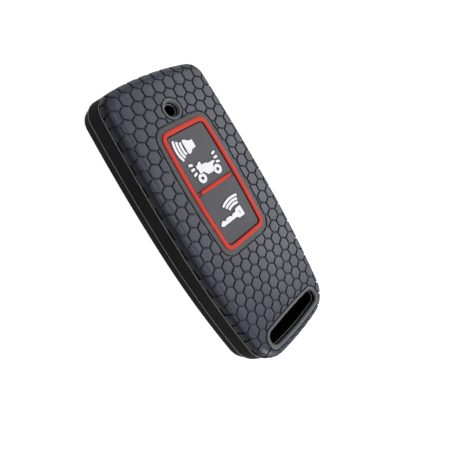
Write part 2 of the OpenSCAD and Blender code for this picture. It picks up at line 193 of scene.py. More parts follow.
@dataclass(frozen=True)
class Plan:
    """An oval-sided shape of six tangent arcs on each half, the same left and right."""

    half_w: float
    low_y: float
    high_y: float
    wide_y: float
    low_r: float
    low_corner_r: float
    low_side_r: float
    high_side_r: float
    high_corner_r: float
    high_r: float

    def arcs(self) -> list[tuple[float, float, float, float, float]]:
        """Works out the arcs of the right half, from the low end up.

        Returns:
            The centre's x and y, the radius, and the first and last angle of each.
        """
        low = (0.0, self.low_y + self.low_r)
        high = (0.0, self.high_y - self.high_r)
        low_side = (self.half_w - self.low_side_r, self.wide_y)
        high_side = (self.half_w - self.high_side_r, self.wide_y)
        r = self.low_corner_r
        low_corner = circles_meet(low, self.low_r - r, low_side, self.low_side_r - r)
        r = self.high_corner_r
        high_corner = circles_meet(high, self.high_r - r, high_side, self.high_side_r - r)
        a1 = bearing(low, low_corner)
        a2 = bearing(low_side, low_corner)
        a4 = bearing(high_side, high_corner)
        a5 = bearing(high, high_corner)
        a3 = 0.0 if a2 < 0 < a4 else (a2 + a4) / 2
        return [
            (*low, self.low_r, -math.pi / 2, a1),
            (*low_corner, self.low_corner_r, a1, a2),
            (*low_side, self.low_side_r, a2, a3),
            (*high_side, self.high_side_r, a3, a4),
            (*high_corner, self.high_corner_r, a4, a5),
            (*high, self.high_r, a5, math.pi / 2),
        ]

    def outline(self, counts: Sequence[int]) -> Outline:
        """Samples the shape.

        Args:
            counts: Steps along each arc of the right half.

        Returns:
            The outline, with twice as many points as there are steps.
        """
        points, normals = [], []
        for (x, y, r, first, last), steps in zip(self.arcs(), counts):
            for i in range(steps):
                a = first + (last - first) * i / steps
                normal = np.array([math.cos(a), math.sin(a)])
                points.append(np.array([x, y]) + r * normal)
                normals.append(normal)
        mirror = np.array([-1.0, 1.0])
        left_points = [p * mirror for p in points[:0:-1]]
        left_normals = [n * mirror for n in normals[:0:-1]]
        points.append(np.array([0.0, self.high_y]))
        normals.append(np.array([0.0, 1.0]))
        return Outline(np.array(points + left_points), np.array(normals + left_normals))

    def distance(self, q: np.ndarray) -> tuple[np.ndarray, np.ndarray]:
        """Measures how far points lie outside the shape.

        Args:
            q: Points in plan, one per row.

        Returns:
            The distances, below 0 inside, and the outward normals at the nearest places.
        """
        side = np.where(q[:, 0] < 0, -1.0, 1.0)
        folded = np.column_stack([np.abs(q[:, 0]), q[:, 1]])
        deepest, slack = -1e6, 1e-7
        best = np.full(len(q), deepest)
        normal = np.zeros_like(folded)
        for x, y, r, first, last in self.arcs():
            rel = folded - (x, y)
            length = np.maximum(np.hypot(rel[:, 0], rel[:, 1]), TINY)
            angle = np.arctan2(rel[:, 1], rel[:, 0])
            gap = length - r
            near = (angle >= first - slack) & (angle <= last + slack) & (gap > best)
            best = np.where(near, gap, best)
            normal[near] = rel[near] / length[near, None]
        normal[:, 0] *= side
        return best, normal


def barrel(w: float, l: float, y: float, side_r: float, corner_r: float) -> Plan:
    """A plan with bowed sides and nearly straight ends.

    Args:
        w: Width.
        l: Length.
        y: Place of its middle.
        side_r: Radius of the bowed sides.
        corner_r: Radius of the corners.

    Returns:
        The plan.
    """
    end_r = w * STRAIGHT
    return Plan(w / 2, y - l / 2, y + l / 2, y, end_r, corner_r, side_r, side_r, corner_r, end_r)


def slot_shape(half_l: float, low_y: float, high_y: float, corner_r: float) -> Plan:
    """A plan for the ring slot, bowed like the ring end on its lower side.

    Args:
        half_l: Half the length across the cover.
        low_y: Lower side.
        high_y: Upper side.
        corner_r: Radius of the corners.

    Returns:
        The plan.
    """
    bow = 85.0
    middle = (low_y + high_y) / 2
    return Plan(half_l, low_y, high_y, middle, bow, corner_r, bow, bow, corner_r, half_l * STRAIGHT)


def body_plan(z: float) -> Plan:
    """The body's outline, whose ends lean in from the parting line up.

    Args:
        z: The height.

    Returns:
        The plan.
    """
    lean = min(1.0, max(0.0, (z - PARTING_Z) / (BAND_TOP_Z - PARTING_Z)))
    end_y = BODY_L / 2 - lean
    return Plan(
        half_w=18.0,
        low_y=-end_y,
        high_y=end_y,
        wide_y=-1.0,
        low_r=85.0,
        low_corner_r=8.5,
        low_side_r=260.0,
        high_side_r=510.0,
        high_corner_r=5.0,
        high_r=87.0,
    )


# Width, length, middle, and radii of the sides and the corners
PANEL = barrel(19.2, 36.8, PANEL_Y, 180.0, 3.4)
FRAME = barrel(FRAME_W, 34.0, PANEL_Y, FRAME_SIDE_R, 2.4)
BAR = barrel(11.6, 1.15, DIVIDER_Y, 232.0, 0.4)
WINDOW = barrel(26.0, 61.0, 3.5, 1220.0, 5.0)

# Half the length, both sides, and radius of the corners
SLOT = slot_shape(10.6, -36.8, -32.0, 1.9)
BACK_SLOT = slot_shape(8.5, -36.8, -32.0, 1.9)
RIM = slot_shape(11.7, -38.0, -31.2, 2.5)

# Steps along the arcs of the right half
BODY_STEPS = (10, 16, 26, 26, 14, 10)
TRIM_STEPS = (6, 10, 12, 12, 10, 6)
BAR_STEPS = (4, 8, 2, 2, 8, 4)


def circle_outline(radius: float, y: float, steps: int = 48) -> Outline:
    """A round outline on the middle line.

    Args:
        radius: Its radius.
        y: Place of its centre.
        steps: Number of points.

    Returns:
        The outline.
    """
    normals = directions(np.linspace(0, 2 * math.pi, steps, endpoint=False))
    return Outline(normals * radius + (0.0, y), normals)


def inside_loop(q: np.ndarray, loop: np.ndarray) -> np.ndarray:
    """Tells which points lie inside a closed line.

    Args:
        q: Points in plan.
        loop: The line's points.

    Returns:
        True for each point inside.
    """
    a, b = loop, np.roll(loop, -1, axis=0)
    above = (a[:, 1] > q[:, 1, None]) != (b[:, 1] > q[:, 1, None])
    rise = np.where(np.abs(b[:, 1] - a[:, 1]) < TINY, TINY, b[:, 1] - a[:, 1])
    cross_x = a[:, 0] + (q[:, 1, None] - a[:, 1]) / rise * (b[:, 0] - a[:, 0])
    return (above & (q[:, 0, None] < cross_x)).sum(axis=1) % 2 == 1


def in_scene(name: str, data: bpy.types.ID) -> bpy.types.Object:
    """Makes an object and links it into the scene.

    Args:
        name: Its name.
        data: Its mesh, lamp or camera.

    Returns:
        The object.
    """
    made = bpy.data.objects.new(name, data)
    bpy.context.scene.collection.objects.link(made)
    return made


class Surface:
    """The points and faces of one closed piece."""

    def __init__(self) -> None:
        """Starts an empty surface."""
        self.blocks: list[np.ndarray] = []
        self.count = 0
        self.faces: list[tuple[int, ...]] = []
        self.finishes: list[int] = []

    def ring(self, points: np.ndarray) -> np.ndarray:
        """Adds points.

        Args:
            points: Points in space, one per row.

        Returns:
            Their numbers.
        """
        self.blocks.append(points)
        first = self.count
        self.count += len(points)
        return np.arange(first, self.count)

    def points(self) -> np.ndarray:
        """All points so far, one per row."""
        return np.concatenate(self.blocks)

    def add_face(self, face: Sequence[int], finish: int = 0) -> None:
        """Adds one face with the number of its finish."""
        self.faces.append(tuple(int(i) for i in face))
        self.finishes.append(finish)

    def bridge(self, low: np.ndarray, high: np.ndarray, finish: int = 0) -> None:
        """Joins two rings with faces that look outwards when the second lies above.

        Args:
            low: Numbers of the first ring's points.
            high: Numbers of the second ring's points.
            finish: Number of the finish.
        """
        n = len(low)
        for i in range(n):
            k = (i + 1) % n
            self.add_face((low[i], low[k], high[k], high[i]), finish)

    def loft(
        self, rings: Sequence[np.ndarray], closed: bool = False, finishes: Sequence[int] = (0,)
    ) -> list[np.ndarray]:
        """Runs a skin through rings.

        Args:
            rings: Points of each ring.
            closed: Whether the last ring joins the first.
            finishes: Number of each band's finish; the last one holds for the rest.

        Returns:
            The numbers of each ring's points.
        """
        made = [self.ring(r) for r in rings]
        following = made[1:] + made[:1] if closed else made[1:]
        for k, (low, high) in enumerate(zip(made, following)):
            self.bridge(low, high, finishes[min(k, len(finishes) - 1)])
        return made

    def fill(
        self, outer: np.ndarray, holes: Sequence[np.ndarray], up: bool, finish: int = 0
    ) -> None:
        """Closes a flat area that may have holes.

        Args:
            outer: Numbers of the points round it.
            holes: Numbers of the points round each hole.
            up: Whether it faces up.
            finish: Number of the finish.
        """
        every = self.points()
        loops = [outer, *holes]
        numbers = np.concatenate(loops)
        flat = every[numbers][:, :2]
        edges, start = [], 0
        for loop in loops:
            n = len(loop)
            edges += [(start + i, start + (i + 1) % n) for i in range(n)]
            start += n
        tolerance = 1e-7
        made = delaunay_2d_cdt([Vector(p) for p in flat], edges, [], 0, tolerance)
        spots = np.array([tuple(v) for v in made[0]])
        triangles = np.array([tuple(f) for f in made[2]])
        middle = spots[triangles].mean(axis=1)
        keep = inside_loop(middle, every[outer][:, :2])
        for hole in holes:
            keep &= ~inside_loop(middle, every[hole][:, :2])
        origin = [source[0] for source in made[3]]
        for tri in triangles[keep]:
            a, b, c = (spots[i] for i in tri)
            turn = (b[0] - a[0]) * (c[1] - a[1]) - (b[1] - a[1]) * (c[0] - a[0])
            if abs(turn) < TINY:
                continue
            face = [numbers[origin[i]] for i in tri]
            self.add_face(face if (turn > 0) == up else face[::-1], finish)

    def stack(self, line: Outline, rows: Sequence[Pair]) -> None:
        """Makes a solid between insets of one line and closes both its ends.

        Args:
            line: The outline.
            rows: Inset and height of each ring, from the lowest up.
        """
        made = self.loft([line.at(inset, z) for inset, z in rows])
        self.fill(made[-1], [], up=True)
        self.fill(made[0], [], up=False)

    def piece(self, name: str, finishes: Sequence[bpy.types.Material]) -> bpy.types.Object:
        """Makes the Blender object, with shading normals that the larger faces lead.

        Args:
            name: Name of the piece.
            finishes: Its materials.

        Returns:
            The object, in metres.
        """
        points = self.points() * METRES
        mesh = bpy.data.meshes.new(name)
        mesh.from_pydata(points.tolist(), [], self.faces)
        for material in finishes:
            mesh.materials.append(material)
        mesh.polygons.foreach_set("material_index", self.finishes)
        mesh.polygons.foreach_set("use_smooth", [True] * len(self.faces))
        mesh.update()
        mesh.normals_split_custom_set_from_vertices(self.shading_normals(points).tolist())
        return in_scene(name, mesh)

    def shading_normals(self, points: np.ndarray) -> np.ndarray:
        """Sums the face normals round each point, each weighted by its area.

        Args:
            points: Points in space.

        Returns:
            A unit normal for each point.
        """
        total = np.zeros_like(points)
        sizes = np.array([len(f) for f in self.faces])
        for size in np.unique(sizes):
            rows = np.array([f for f in self.faces if len(f) == size])
            corner = points[rows]
            area = np.zeros((len(rows), 3))
            for i in range(1, size - 1):
                area += np.cross(corner[:, i] - corner[:, 0], corner[:, i + 1] - corner[:, 0])
            for i in range(size):
                np.add.at(total, rows[:, i], area)
        return unit(total)


def place(piece: bpy.types.Object, body: Body, slot: Slot, *nodes: str) -> None:
    """Puts a finished piece on its body.

    Args:
        piece: The object.
        body: The body that it moves with.
        slot: The record's slot for its finish; not used.
        nodes: CAD nodes that it stands for.
    """
    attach(piece, body.value)
    if nodes:
        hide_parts(*nodes)
    log.info("%s: %d faces on %s", piece.name, len(piece.data.polygons), body.value)


class NodeDesk:
    """Adds and joins the nodes of one node tree."""

    # Sockets of a Mix node that mixes colours
    MIX_A, MIX_B, MIX_RESULT = 6, 7, 2

    def __init__(self, tree: bpy.types.NodeTree) -> None:
        """Takes the tree to work on."""
        self.tree = tree

    def feed(self, node: bpy.types.Node, inputs: Mapping[str | int, object]) -> None:
        """Links a node's inputs to sockets, or gives them plain values.

        Args:
            node: The node.
            inputs: A socket or a value for each input, by its name or number.
        """
        for key, value in inputs.items():
            if isinstance(value, bpy.types.NodeSocket):
                self.tree.links.new(value, node.inputs[key])
            else:
                node.inputs[key].default_value = value

    def add(
        self, kind: str, inputs: Mapping[str | int, object] | None = None, **values: object
    ) -> bpy.types.Node:
        """Adds a node.

        Args:
            kind: Blender's name of the node type.
            inputs: A socket or a value for some of its inputs.
            values: Properties of the node.

        Returns:
            The node.
        """
        node = self.tree.nodes.new(kind)
        for name, value in values.items():
            setattr(node, name, value)
        self.feed(node, inputs or {})
        return node

    def effect(self, name: str, **inputs: float) -> bpy.types.NodeSocket:
        """Places a shared effect and gives its output."""
        group = bpy.data.node_groups[name]
        return self.add("ShaderNodeGroup", inputs, node_tree=group).outputs[0]

    def own_place(self) -> bpy.types.NodeSocket:
        """The place on the object."""
        return self.add("ShaderNodeTexCoord").outputs["Object"]

    def geometry(self, output: str, axis: str) -> bpy.types.NodeSocket:
        """One axis of an output of the Geometry node."""
        vector = self.add("ShaderNodeNewGeometry").outputs[output]
        return self.add("ShaderNodeSeparateXYZ", {"Vector": vector}).outputs[axis]

    def math(self, operation: str, a: object, b: object) -> bpy.types.NodeSocket:
        """The result of a Math node, from two values or sockets."""
        return self.add("ShaderNodeMath", {0: a, 1: b}, operation=operation).outputs[0]

    def noise(self, where: bpy.types.NodeSocket, scale: object, detail: float) -> bpy.types.NodeSocket:
        """Adds a Noise Texture node.

        Args:
            where: Socket with the place.
            scale: Scale per metre, as a number or a socket.
            detail: Number of octaves.

        Returns:
            Its factor output.
        """
        inputs = {"Vector": where, "Scale": scale, "Detail": detail}
        return self.add("ShaderNodeTexNoise", inputs).outputs["Fac"]

    def ramp(self, value: bpy.types.NodeSocket, given: Pair, wanted: Pair) -> bpy.types.NodeSocket:
        """Maps a range to another, held at its ends.

        Args:
            value: The socket to map.
            given: Start and end of its range.
            wanted: Values at the start and at the end.

        Returns:
            The mapped value.
        """
        inputs = {
            "Value": value,
            "From Min": given[0],
            "From Max": given[1],
            "To Min": wanted[0],
            "To Max": wanted[1],
        }
        return self.add("ShaderNodeMapRange", inputs).outputs["Result"]

    def mix(self, share: bpy.types.NodeSocket, a: object, b: object) -> bpy.types.NodeSocket:
        """Mixes two colours.

        Args:
            share: Socket with the share of the second.
            a: First colour or socket.
            b: Second colour or socket.

        Returns:
            The mixed colour.
        """
        inputs = {"Factor": share, self.MIX_A: a, self.MIX_B: b}
        return self.add("ShaderNodeMix", inputs, data_type="RGBA").outputs[self.MIX_RESULT]


def shared_effect(
    name: str, inputs: Mapping[str, float], output: str
) -> tuple[NodeDesk, bpy.types.Node, bpy.types.Node]:
    """Starts a shader node group with named sockets.

    Args:
        name: Name of the effect.
        inputs: Name and default of each input.
        output: Name of its output.

    Returns:
        The group's desk, and its input and output nodes.
    """
    group = bpy.data.node_groups.new(name, "ShaderNodeTree")
    kind = "NodeSocketFloat"
    for label, default in inputs.items():
        socket = group.interface.new_socket(label, in_out="INPUT", socket_type=kind)
        socket.default_value = default
    group.interface.new_socket(output, in_out="OUTPUT", socket_type=kind)
    desk = NodeDesk(group)
    return desk, desk.add("NodeGroupInput"), desk.add("NodeGroupOutput")


def moulded_grain() -> None:
    """Makes the effect of a spark-eroded mould: fine satin grain, as a height."""
    desk, given, result = shared_effect("moulded_grain", {"Scale": 9000.0}, "Height")
    where = desk.own_place()
    fine = desk.noise(where, given.outputs["Scale"], 2.0)
    coarse = desk.noise(where, desk.math("MULTIPLY", given.outputs["Scale"], 0.23), 3.0)
    total = desk.math("ADD", desk.math("MULTIPLY", fine, 0.6), desk.math("MULTIPLY", coarse, 0.4))
    desk.feed(result, {"Height": total})


def handling_marks() -> None:
    """Makes the effect of fingers that polished the silicone: soft patches, as a mask."""
    desk, given, result = shared_effect("handling_marks", {"Scale": 90.0}, "Mask")
    patches = desk.noise(desk.own_place(), given.outputs["Scale"], 4.0)
    desk.feed(result, {"Mask": desk.ramp(patches, (0.35, 0.68), (0.0, 1.0))})


def settled_dust() -> None:
    """Makes the effect of dust and lint on the faces that look up, as a mask."""
    desk, given, result = shared_effect("settled_dust", {"Scale": 2600.0, "Spread": 0.5}, "Mask")
    where = desk.own_place()
    specks = desk.ramp(desk.noise(where, given.outputs["Scale"], 5.0), (0.62, 0.72), (0.0, 1.0))
    patches = desk.ramp(desk.noise(where, 260.0, 3.0), (0.4, 0.7), (0.1, 1.0))
    facing_up = desk.ramp(desk.geometry("Normal", "Z"), (0.2, 0.9), (0.0, 1.0))
    amount = desk.math("MULTIPLY", desk.math("MULTIPLY", specks, patches), facing_up)
    desk.feed(result, {"Mask": desk.math("MULTIPLY", amount, given.outputs["Spread"])})


def node_material(name: str) -> tuple[bpy.types.Material, NodeDesk, bpy.types.Node]:
    """Starts a material.

    Args:
        name: Its name.

    Returns:
        The material, the desk of its nodes and its Principled shader.
    """
    made = bpy.data.materials.new(name)
    made.use_nodes = True
    return made, NodeDesk(made.node_tree), made.node_tree.nodes["Principled BSDF"]


@dataclass(frozen=True)
class Silicone:
    """A satin moulded silicone finish."""

    name: str
    colour: Triple
    drift: Triple
    roughness: float
    dust: float
    specular: float
    polish: float = 0.05
    dust_roughness: float = 0.2
    dust_colour: Triple = (0.42, 0.41, 0.39)
    grain_strength: float = 0.35
    grain_depth: float = 0.012

    def material(self) -> bpy.types.Material:
        """Builds the node material.

        Returns:
            The material.
        """
        made, desk, shader = node_material(f"{self.name}_silicone")
        made.diffuse_color = (*self.colour, 1.0)
        marks = desk.effect("handling_marks")
        dust = desk.effect("settled_dust", Spread=self.dust)
        body = desk.mix(marks, (*self.colour, 1.0), (*self.drift, 1.0))
        polished = desk.ramp(marks, (0.0, 1.0), (self.roughness, self.roughness - self.polish))
        dulled = desk.math("MULTIPLY", dust, self.dust_roughness)
        grain = {
            "Strength": self.grain_strength,
            "Distance": self.grain_depth * METRES,
            "Height": desk.effect("moulded_grain"),
        }
        inputs = {
            "Specular IOR Level": self.specular,
            "Base Color": desk.mix(dust, body, (*self.dust_colour, 1.0)),
            "Roughness": desk.math("ADD", polished, dulled),
            "Normal": desk.add("ShaderNodeBump", grain).outputs["Normal"],
        }
        desk.feed(shader, inputs)
        return made


# Name, colour, its drift, roughness, dust and specular level of each finish
SILICONES = (
    Silicone("sleeve", (0.014, 0.013, 0.013), (0.017, 0.016, 0.016), 0.8, 0.4, 0.05),
    Silicone("grip", (0.024, 0.028, 0.044), (0.029, 0.033, 0.050), 0.39, 0.15, 0.33),
    # The shoulder's darker, less glossy copy of the grip: painted shade on the foot of the shoulder
    Silicone("shoulder", (0.012, 0.013, 0.020), (0.015, 0.016, 0.024), 0.45, 0.1, 0.14),
    Silicone("rim", (0.100, 0.100, 0.112), (0.110, 0.110, 0.122), 0.5, 0.15, 0.3),
    Silicone("panel", (0.068, 0.067, 0.072), (0.077, 0.076, 0.082), 0.55, 0.15, 0.25),
    Silicone("button", (0.066, 0.066, 0.075), (0.075, 0.075, 0.085), 0.55, 0.15, 0.25),
    # A lighter, glossier finish for ridges and lips: real gloss, with a painted highlight in its
    # lighter colour
    Silicone("polished", (0.150, 0.150, 0.156), (0.180, 0.180, 0.186), 0.3, 0.1, 0.5),
    Silicone("red", (0.59, 0.054, 0.039), (0.63, 0.062, 0.045), 0.65, 0.05, 0.12),
    Silicone("white", (0.85, 0.85, 0.91), (0.90, 0.90, 0.95), 0.6, 0.05, 0.3),
)


@dataclass
class Finishes:
    """The finishes of the cover, each made once."""

    sleeve: bpy.types.Material
    grip: bpy.types.Material
    shoulder: bpy.types.Material
    # Darker copy of the grip for the foot of the shoulder: painted shade
    rim: bpy.types.Material
    panel: bpy.types.Material
    button: bpy.types.Material
    # Lighter finish of the ridges and lips: painted highlight, with real gloss
    polished: bpy.types.Material
    red: bpy.types.Material
    white: bpy.types.Material

    @classmethod
    def make(cls) -> Finishes:
        """Builds the shared effects and the materials.

        Returns:
            The finishes.
        """
        moulded_grain()
        handling_marks()
        settled_dust()
        return cls(**{finish.name: finish.material() for finish in SILICONES})


@dataclass
class PlanSheet:
    """A flat sheet of triangles that can be cut along the level lines of a field."""

    points: np.ndarray
    triangles: np.ndarray
    snap: float = 1e-4
    least_slope: float = 1e-9

    def cut(
        self, field_at: Callable[[np.ndarray], np.ndarray], level: float, drop: int = 0
    ) -> None:
        """Splits every triangle that a level line crosses.

        Args:
            field_at: Gives the field's value at points.
            level: The value to cut at.
            drop: 1 to drop what lies above the level, -1 what lies below it, 0 for none.
        """
        value = field_at(self.points) - level
        near = np.abs(value) < self.snap
        if near.any():
            self.points[near] -= value[near, None] * self.slope(field_at, self.points[near])
            value[near] = 0.0
        sign = np.sign(value)
        tri = self.triangles
        ahead = np.roll(tri, -1, axis=1)
        crossed = sign[tri] * sign[ahead] < 0
        pairs = np.sort(np.column_stack([tri[crossed], ahead[crossed]]), axis=1)
        edges, which = np.unique(pairs, axis=0, return_inverse=True)
        a, b = value[edges[:, 0]], value[edges[:, 1]]
        share = (a / (a - b))[:, None]
        spots = self.points[edges[:, 0]] * (1 - share) + self.points[edges[:, 1]] * share
        mark = np.full(tri.shape, -1)
        mark[crossed] = len(self.points) + which.ravel()
        self.points = np.concatenate([self.points, spots])
        total = crossed.sum(axis=1)
        parts = [tri[total == 0]]
        for k in range(3):
            k1, k2 = (k + 1) % 3, (k + 2) % 3
            rows = (total == 1) & crossed[:, k]
            t, m = tri[rows], mark[rows]
            parts.append(np.column_stack([t[:, k], m[:, k], t[:, k2]]))
            parts.append(np.column_stack([m[:, k], t[:, k1], t[:, k2]]))
            rows = (total == 2) & ~crossed[:, k]
            t, m = tri[rows], mark[rows]
            parts.append(np.column_stack([m[:, k1], t[:, k2], m[:, k2]]))
            parts.append(np.column_stack([t[:, k], t[:, k1], m[:, k1]]))
            parts.append(np.column_stack([t[:, k], m[:, k1], m[:, k2]]))
        self.triangles = np.concatenate(parts)
        if drop:
            value = np.concatenate([value, np.zeros(len(spots))])
            kept = self.triangles[(value[self.triangles] * drop).sum(axis=1) < 0]
            used, numbers = np.unique(kept, return_inverse=True)
            self.points = self.points[used]
            self.triangles = numbers.reshape(kept.shape)

    def slope(self, field_at: Callable[[np.ndarray], np.ndarray], spots: np.ndarray) -> np.ndarray:
        """Finds how points move when the field rises by one.

        Args:
            field_at: Gives the field's value at points.
            spots: The points.

        Returns:
            The move of each point, along the field's slope.
        """
        reach = self.snap
        slope = np.column_stack(
            [
                (field_at(spots + step) - field_at(spots - step)) / (2 * reach)
                for step in ((reach, 0.0), (0.0, reach))
            ]
        )
        return slope / np.maximum((slope**2).sum(axis=1, keepdims=True), self.least_slope)

    def borders(self) -> list[np.ndarray]:
        """Follows the closed lines round the sheet and its holes.

        Returns:
            The numbers of each line's points, the longest line first.
        """
        tri = self.triangles
        ahead = np.roll(tri, -1, axis=1)
        size = len(self.points)
        forward = (tri.astype(np.int64) * size + ahead).ravel()
        back = (ahead.astype(np.int64) * size + tri).ravel()
        free = ~np.isin(forward, back)
        following = dict(zip(tri.ravel()[free].tolist(), ahead.ravel()[free].tolist()))
        loops = []
        while following:
            start = next(iter(following))
            loop, spot = [start], following.pop(start)
            while spot != start:
                loop.append(spot)
                spot = following.pop(spot)
            loops.append(np.array(loop))
        return sorted(loops, key=len, reverse=True)


@dataclass
class HoneycombGrip:
    """The skin of the front: six-sided cells that run over the shoulder down to the wall."""

    finishes: Finishes
    pitch: float = 3.4
    row_y: float = 0.9
    rows: int = 16
    columns: int = 7
    side_steps: int = 3
    wall_gaps: tuple[float, ...] = (0.15, 0.21, 0.23, 0.26, 0.31)
    inner_gap: float = 0.9
    edge_round: float = 0.1
    border_shift: float = 0.1
    cell_reach: float = 0.952
    lap: float = 0.15
    skin_t: float = 0.7
    hidden_lap: float = 1.0
    crown: float = 0.015
    shade_share: float = 0.71
    # Share of the shoulder's width past which the skin has the darker finish of painted shade
    weld_digits: int = 4
    shoulder_angles: tuple[float, ...] = (0.0, 15.0, 30.0, 45.0, 60.0, 75.0)
    hidden_angles: tuple[float, ...] = (45.0, 67.5, 90.0)
    plan: Plan = field(default_factory=lambda: body_plan(FRONT_Z))

    @property
    def row_h(self) -> float:
        """Distance between two rows of cells."""
        return self.pitch * math.sqrt(3) / 2

    def past_edge(self, q: np.ndarray) -> np.ndarray:
        """How far points lie outside the line where the flat front starts to roll."""
        return self.plan.distance(q)[0] + FLAT_INSET

    def past_panel(self, q: np.ndarray) -> np.ndarray:
        """How far points lie outside the panel and the collar together."""
        collar = np.hypot(q[:, 0], q[:, 1] - LAMP_Y) - COLLAR_R
        return np.minimum(PANEL.distance(q)[0], collar)

    def past_rim(self, q: np.ndarray) -> np.ndarray:
        """How far points lie outside the rim of the ring slot."""
        return RIM.distance(q)[0]

    def cell_middles(self) -> np.ndarray:
        """Lays out a field of cells that is larger than the cover.

        Returns:
            The cells' middles.
        """
        return np.array(
            [
                ((c + (0.5 if r % 2 else 0.0)) * self.pitch, self.row_y + r * self.row_h)
                for r in range(-self.rows, self.rows + 1)
                for c in range(-self.columns, self.columns + 1)
            ]
        )

    def nearest_cell(self, q: np.ndarray) -> np.ndarray:
        """Finds the cell that each point lies in.

        Args:
            q: Points in plan.

        Returns:
            The middle of each point's cell.
        """
        best = np.zeros_like(q)
        least = np.full(len(q), np.inf)
        for shift in (0, 1):
            rows = np.round(((q[:, 1] - self.row_y) / self.row_h - shift) / 2) * 2 + shift
            x = (np.round(q[:, 0] / self.pitch - shift / 2) + shift / 2) * self.pitch
            middle = np.column_stack([x, self.row_y + rows * self.row_h])
            d = ((q - middle) ** 2).sum(axis=1)
            best[d < least] = middle[d < least]
            least = np.minimum(d, least)
        return best

    def is_cell(self, middles: np.ndarray) -> np.ndarray:
        """Tells where a raised cell stands, rather than plain groove.

        Args:
            middles: Middles of cells.

        Returns:
            True for each raised cell.
        """
        outside = self.plan.distance(middles)[0] > self.cell_reach - SIDE_DRAFT
        under_panel = PANEL.distance(middles)[0] < -self.cell_reach
        under_rim = RIM.distance(middles)[0] < -self.cell_reach
        return ~(outside | under_panel | under_rim)

    def wall_gap(self, q: np.ndarray) -> tuple[np.ndarray, np.ndarray]:
        """Measures how far points lie from the nearest edge of their cell.

        Args:
            q: Points in plan.

        Returns:
            The distances from the middle of the groove, and how far each point lies
            from its cell's middle as a share of half the pitch.
        """
        middles = self.nearest_cell(q)
        rel = q - middles
        across, lean = rel[:, 0], rel[:, 1] * math.sqrt(3) / 2
        metric = np.max(
            [np.abs(across), np.abs(across / 2 + lean), np.abs(across / 2 - lean)], axis=0
        )
        gap = np.where(self.is_cell(middles), self.pitch / 2 - metric, 0.0)
        border = np.minimum(self.past_panel(q), self.past_rim(q))
        return np.minimum(gap, border - self.border_shift), metric / (self.pitch / 2)

    def groove_drop(self, gap: np.ndarray) -> np.ndarray:
        """Works out how deep the skin lies.

        Args:
            gap: Distances from the middle of the groove.

        Returns:
            The depth at each.
        """
        floor_edge, top_edge = self.wall_gaps[0], self.wall_gaps[-1]
        wall_edge = top_edge - self.edge_round
        up_wall = np.clip((gap - floor_edge) / (wall_edge - floor_edge), 0, 1)
        wall = GROOVE_DEPTH + (self.edge_round - GROOVE_DEPTH) * up_wall
        back = np.clip((top_edge - gap) / self.edge_round, 0, 1)
        return np.where(gap < wall_edge, wall, self.edge_round * (1 - np.sqrt(1 - back**2)))

    def cells(self) -> PlanSheet:
        """Lays out the cells in plan, each as rings of triangles round its middle.

        Returns:
            A sheet that reaches past the cover.
        """
        corners = directions(np.radians(30 + 60 * np.arange(6)))
        share = np.arange(self.side_steps)[:, None] / self.side_steps
        hexagon = np.concatenate(
            [a + share * (b - a) for a, b in zip(corners, np.roll(corners, -1, axis=0))]
        )
        gaps = (0.0, *self.wall_gaps, self.inner_gap)
        n = len(hexagon)
        points, triangles = [], []
        count = 0
        for middle in self.cell_middles():
            if self.plan.distance(middle[None])[0][0] > self.pitch:
                continue
            for gap in gaps:
                points.append(middle + hexagon * (self.pitch / 2 - gap) * 2 / math.sqrt(3))
            points.append(middle[None])
            last = count + (len(gaps) - 1) * n
            centre = last + n
            for first in range(count, last, n):
                for i in range(n):
                    a, b = first + i, first + (i + 1) % n
                    triangles += [(a, b, b + n), (a, b + n, a + n)]
            triangles += [(last + i, last + (i + 1) % n, centre) for i in range(n)]
            count = centre + 1
        stacked = np.concatenate(points)
        _, first, numbers = np.unique(
            np.round(stacked, self.weld_digits), axis=0, return_index=True, return_inverse=True
        )
        return PlanSheet(stacked[first], numbers.ravel()[np.array(triangles)])

    def sheet(self) -> PlanSheet:
        """Cuts the cells along the shoulder and the borders.

        Returns:
            The sheet of the front.
        """
        sheet = self.cells()
        for angle in self.shoulder_angles:
            sheet.cut(self.past_edge, SHOULDER_R * math.sin(math.radians(angle)))
        sheet.cut(self.past_edge, SHOULDER_R, drop=1)
        for field_at in (self.past_panel, self.past_rim):
            sheet.cut(field_at, -self.lap, drop=-1)
            for gap in self.wall_gaps:
                sheet.cut(field_at, self.border_shift + gap)
        return sheet

    def wall_rings(self, foot: Outline, edge_drop: np.ndarray) -> list[np.ndarray]:
        """Runs from the hidden side of the skin round its thickness to its lower edge.

        Args:
            foot: The line round which the shoulder rolls.
            edge_drop: Depth of the skin's lower edge at each of its points.

        Returns:
            The rings, up to the last one below the edge.
        """
        softened = np.minimum(edge_drop + 0.05, GROOVE_DEPTH)
        hidden_z = FRONT_Z - self.skin_t
        hidden_r = SHOULDER_R - self.skin_t
        rows = [(SHOULDER_R - self.hidden_lap, hidden_z)]
        for angle in np.radians(self.hidden_angles):
            depth = SHOULDER_R - hidden_r * math.sin(angle)
            rows.append((depth, hidden_z - hidden_r * (1 - math.cos(angle))))
        rows += [
            (self.skin_t, BAND_TOP_Z - 0.02),
            (GROOVE_DEPTH, BAND_TOP_Z - 0.02),
            (softened, BAND_TOP_Z + 0.01),
            (edge_drop, BAND_TOP_Z + 0.06),
            (edge_drop, BAND_TOP_Z + 0.28),
        ]
        rings = []
        for depth, z in rows:
            reach = SHOULDER_R - np.broadcast_to(depth, len(edge_drop))
            rings.append(lifted(foot.points + foot.normals * reach[:, None], z))
        return rings

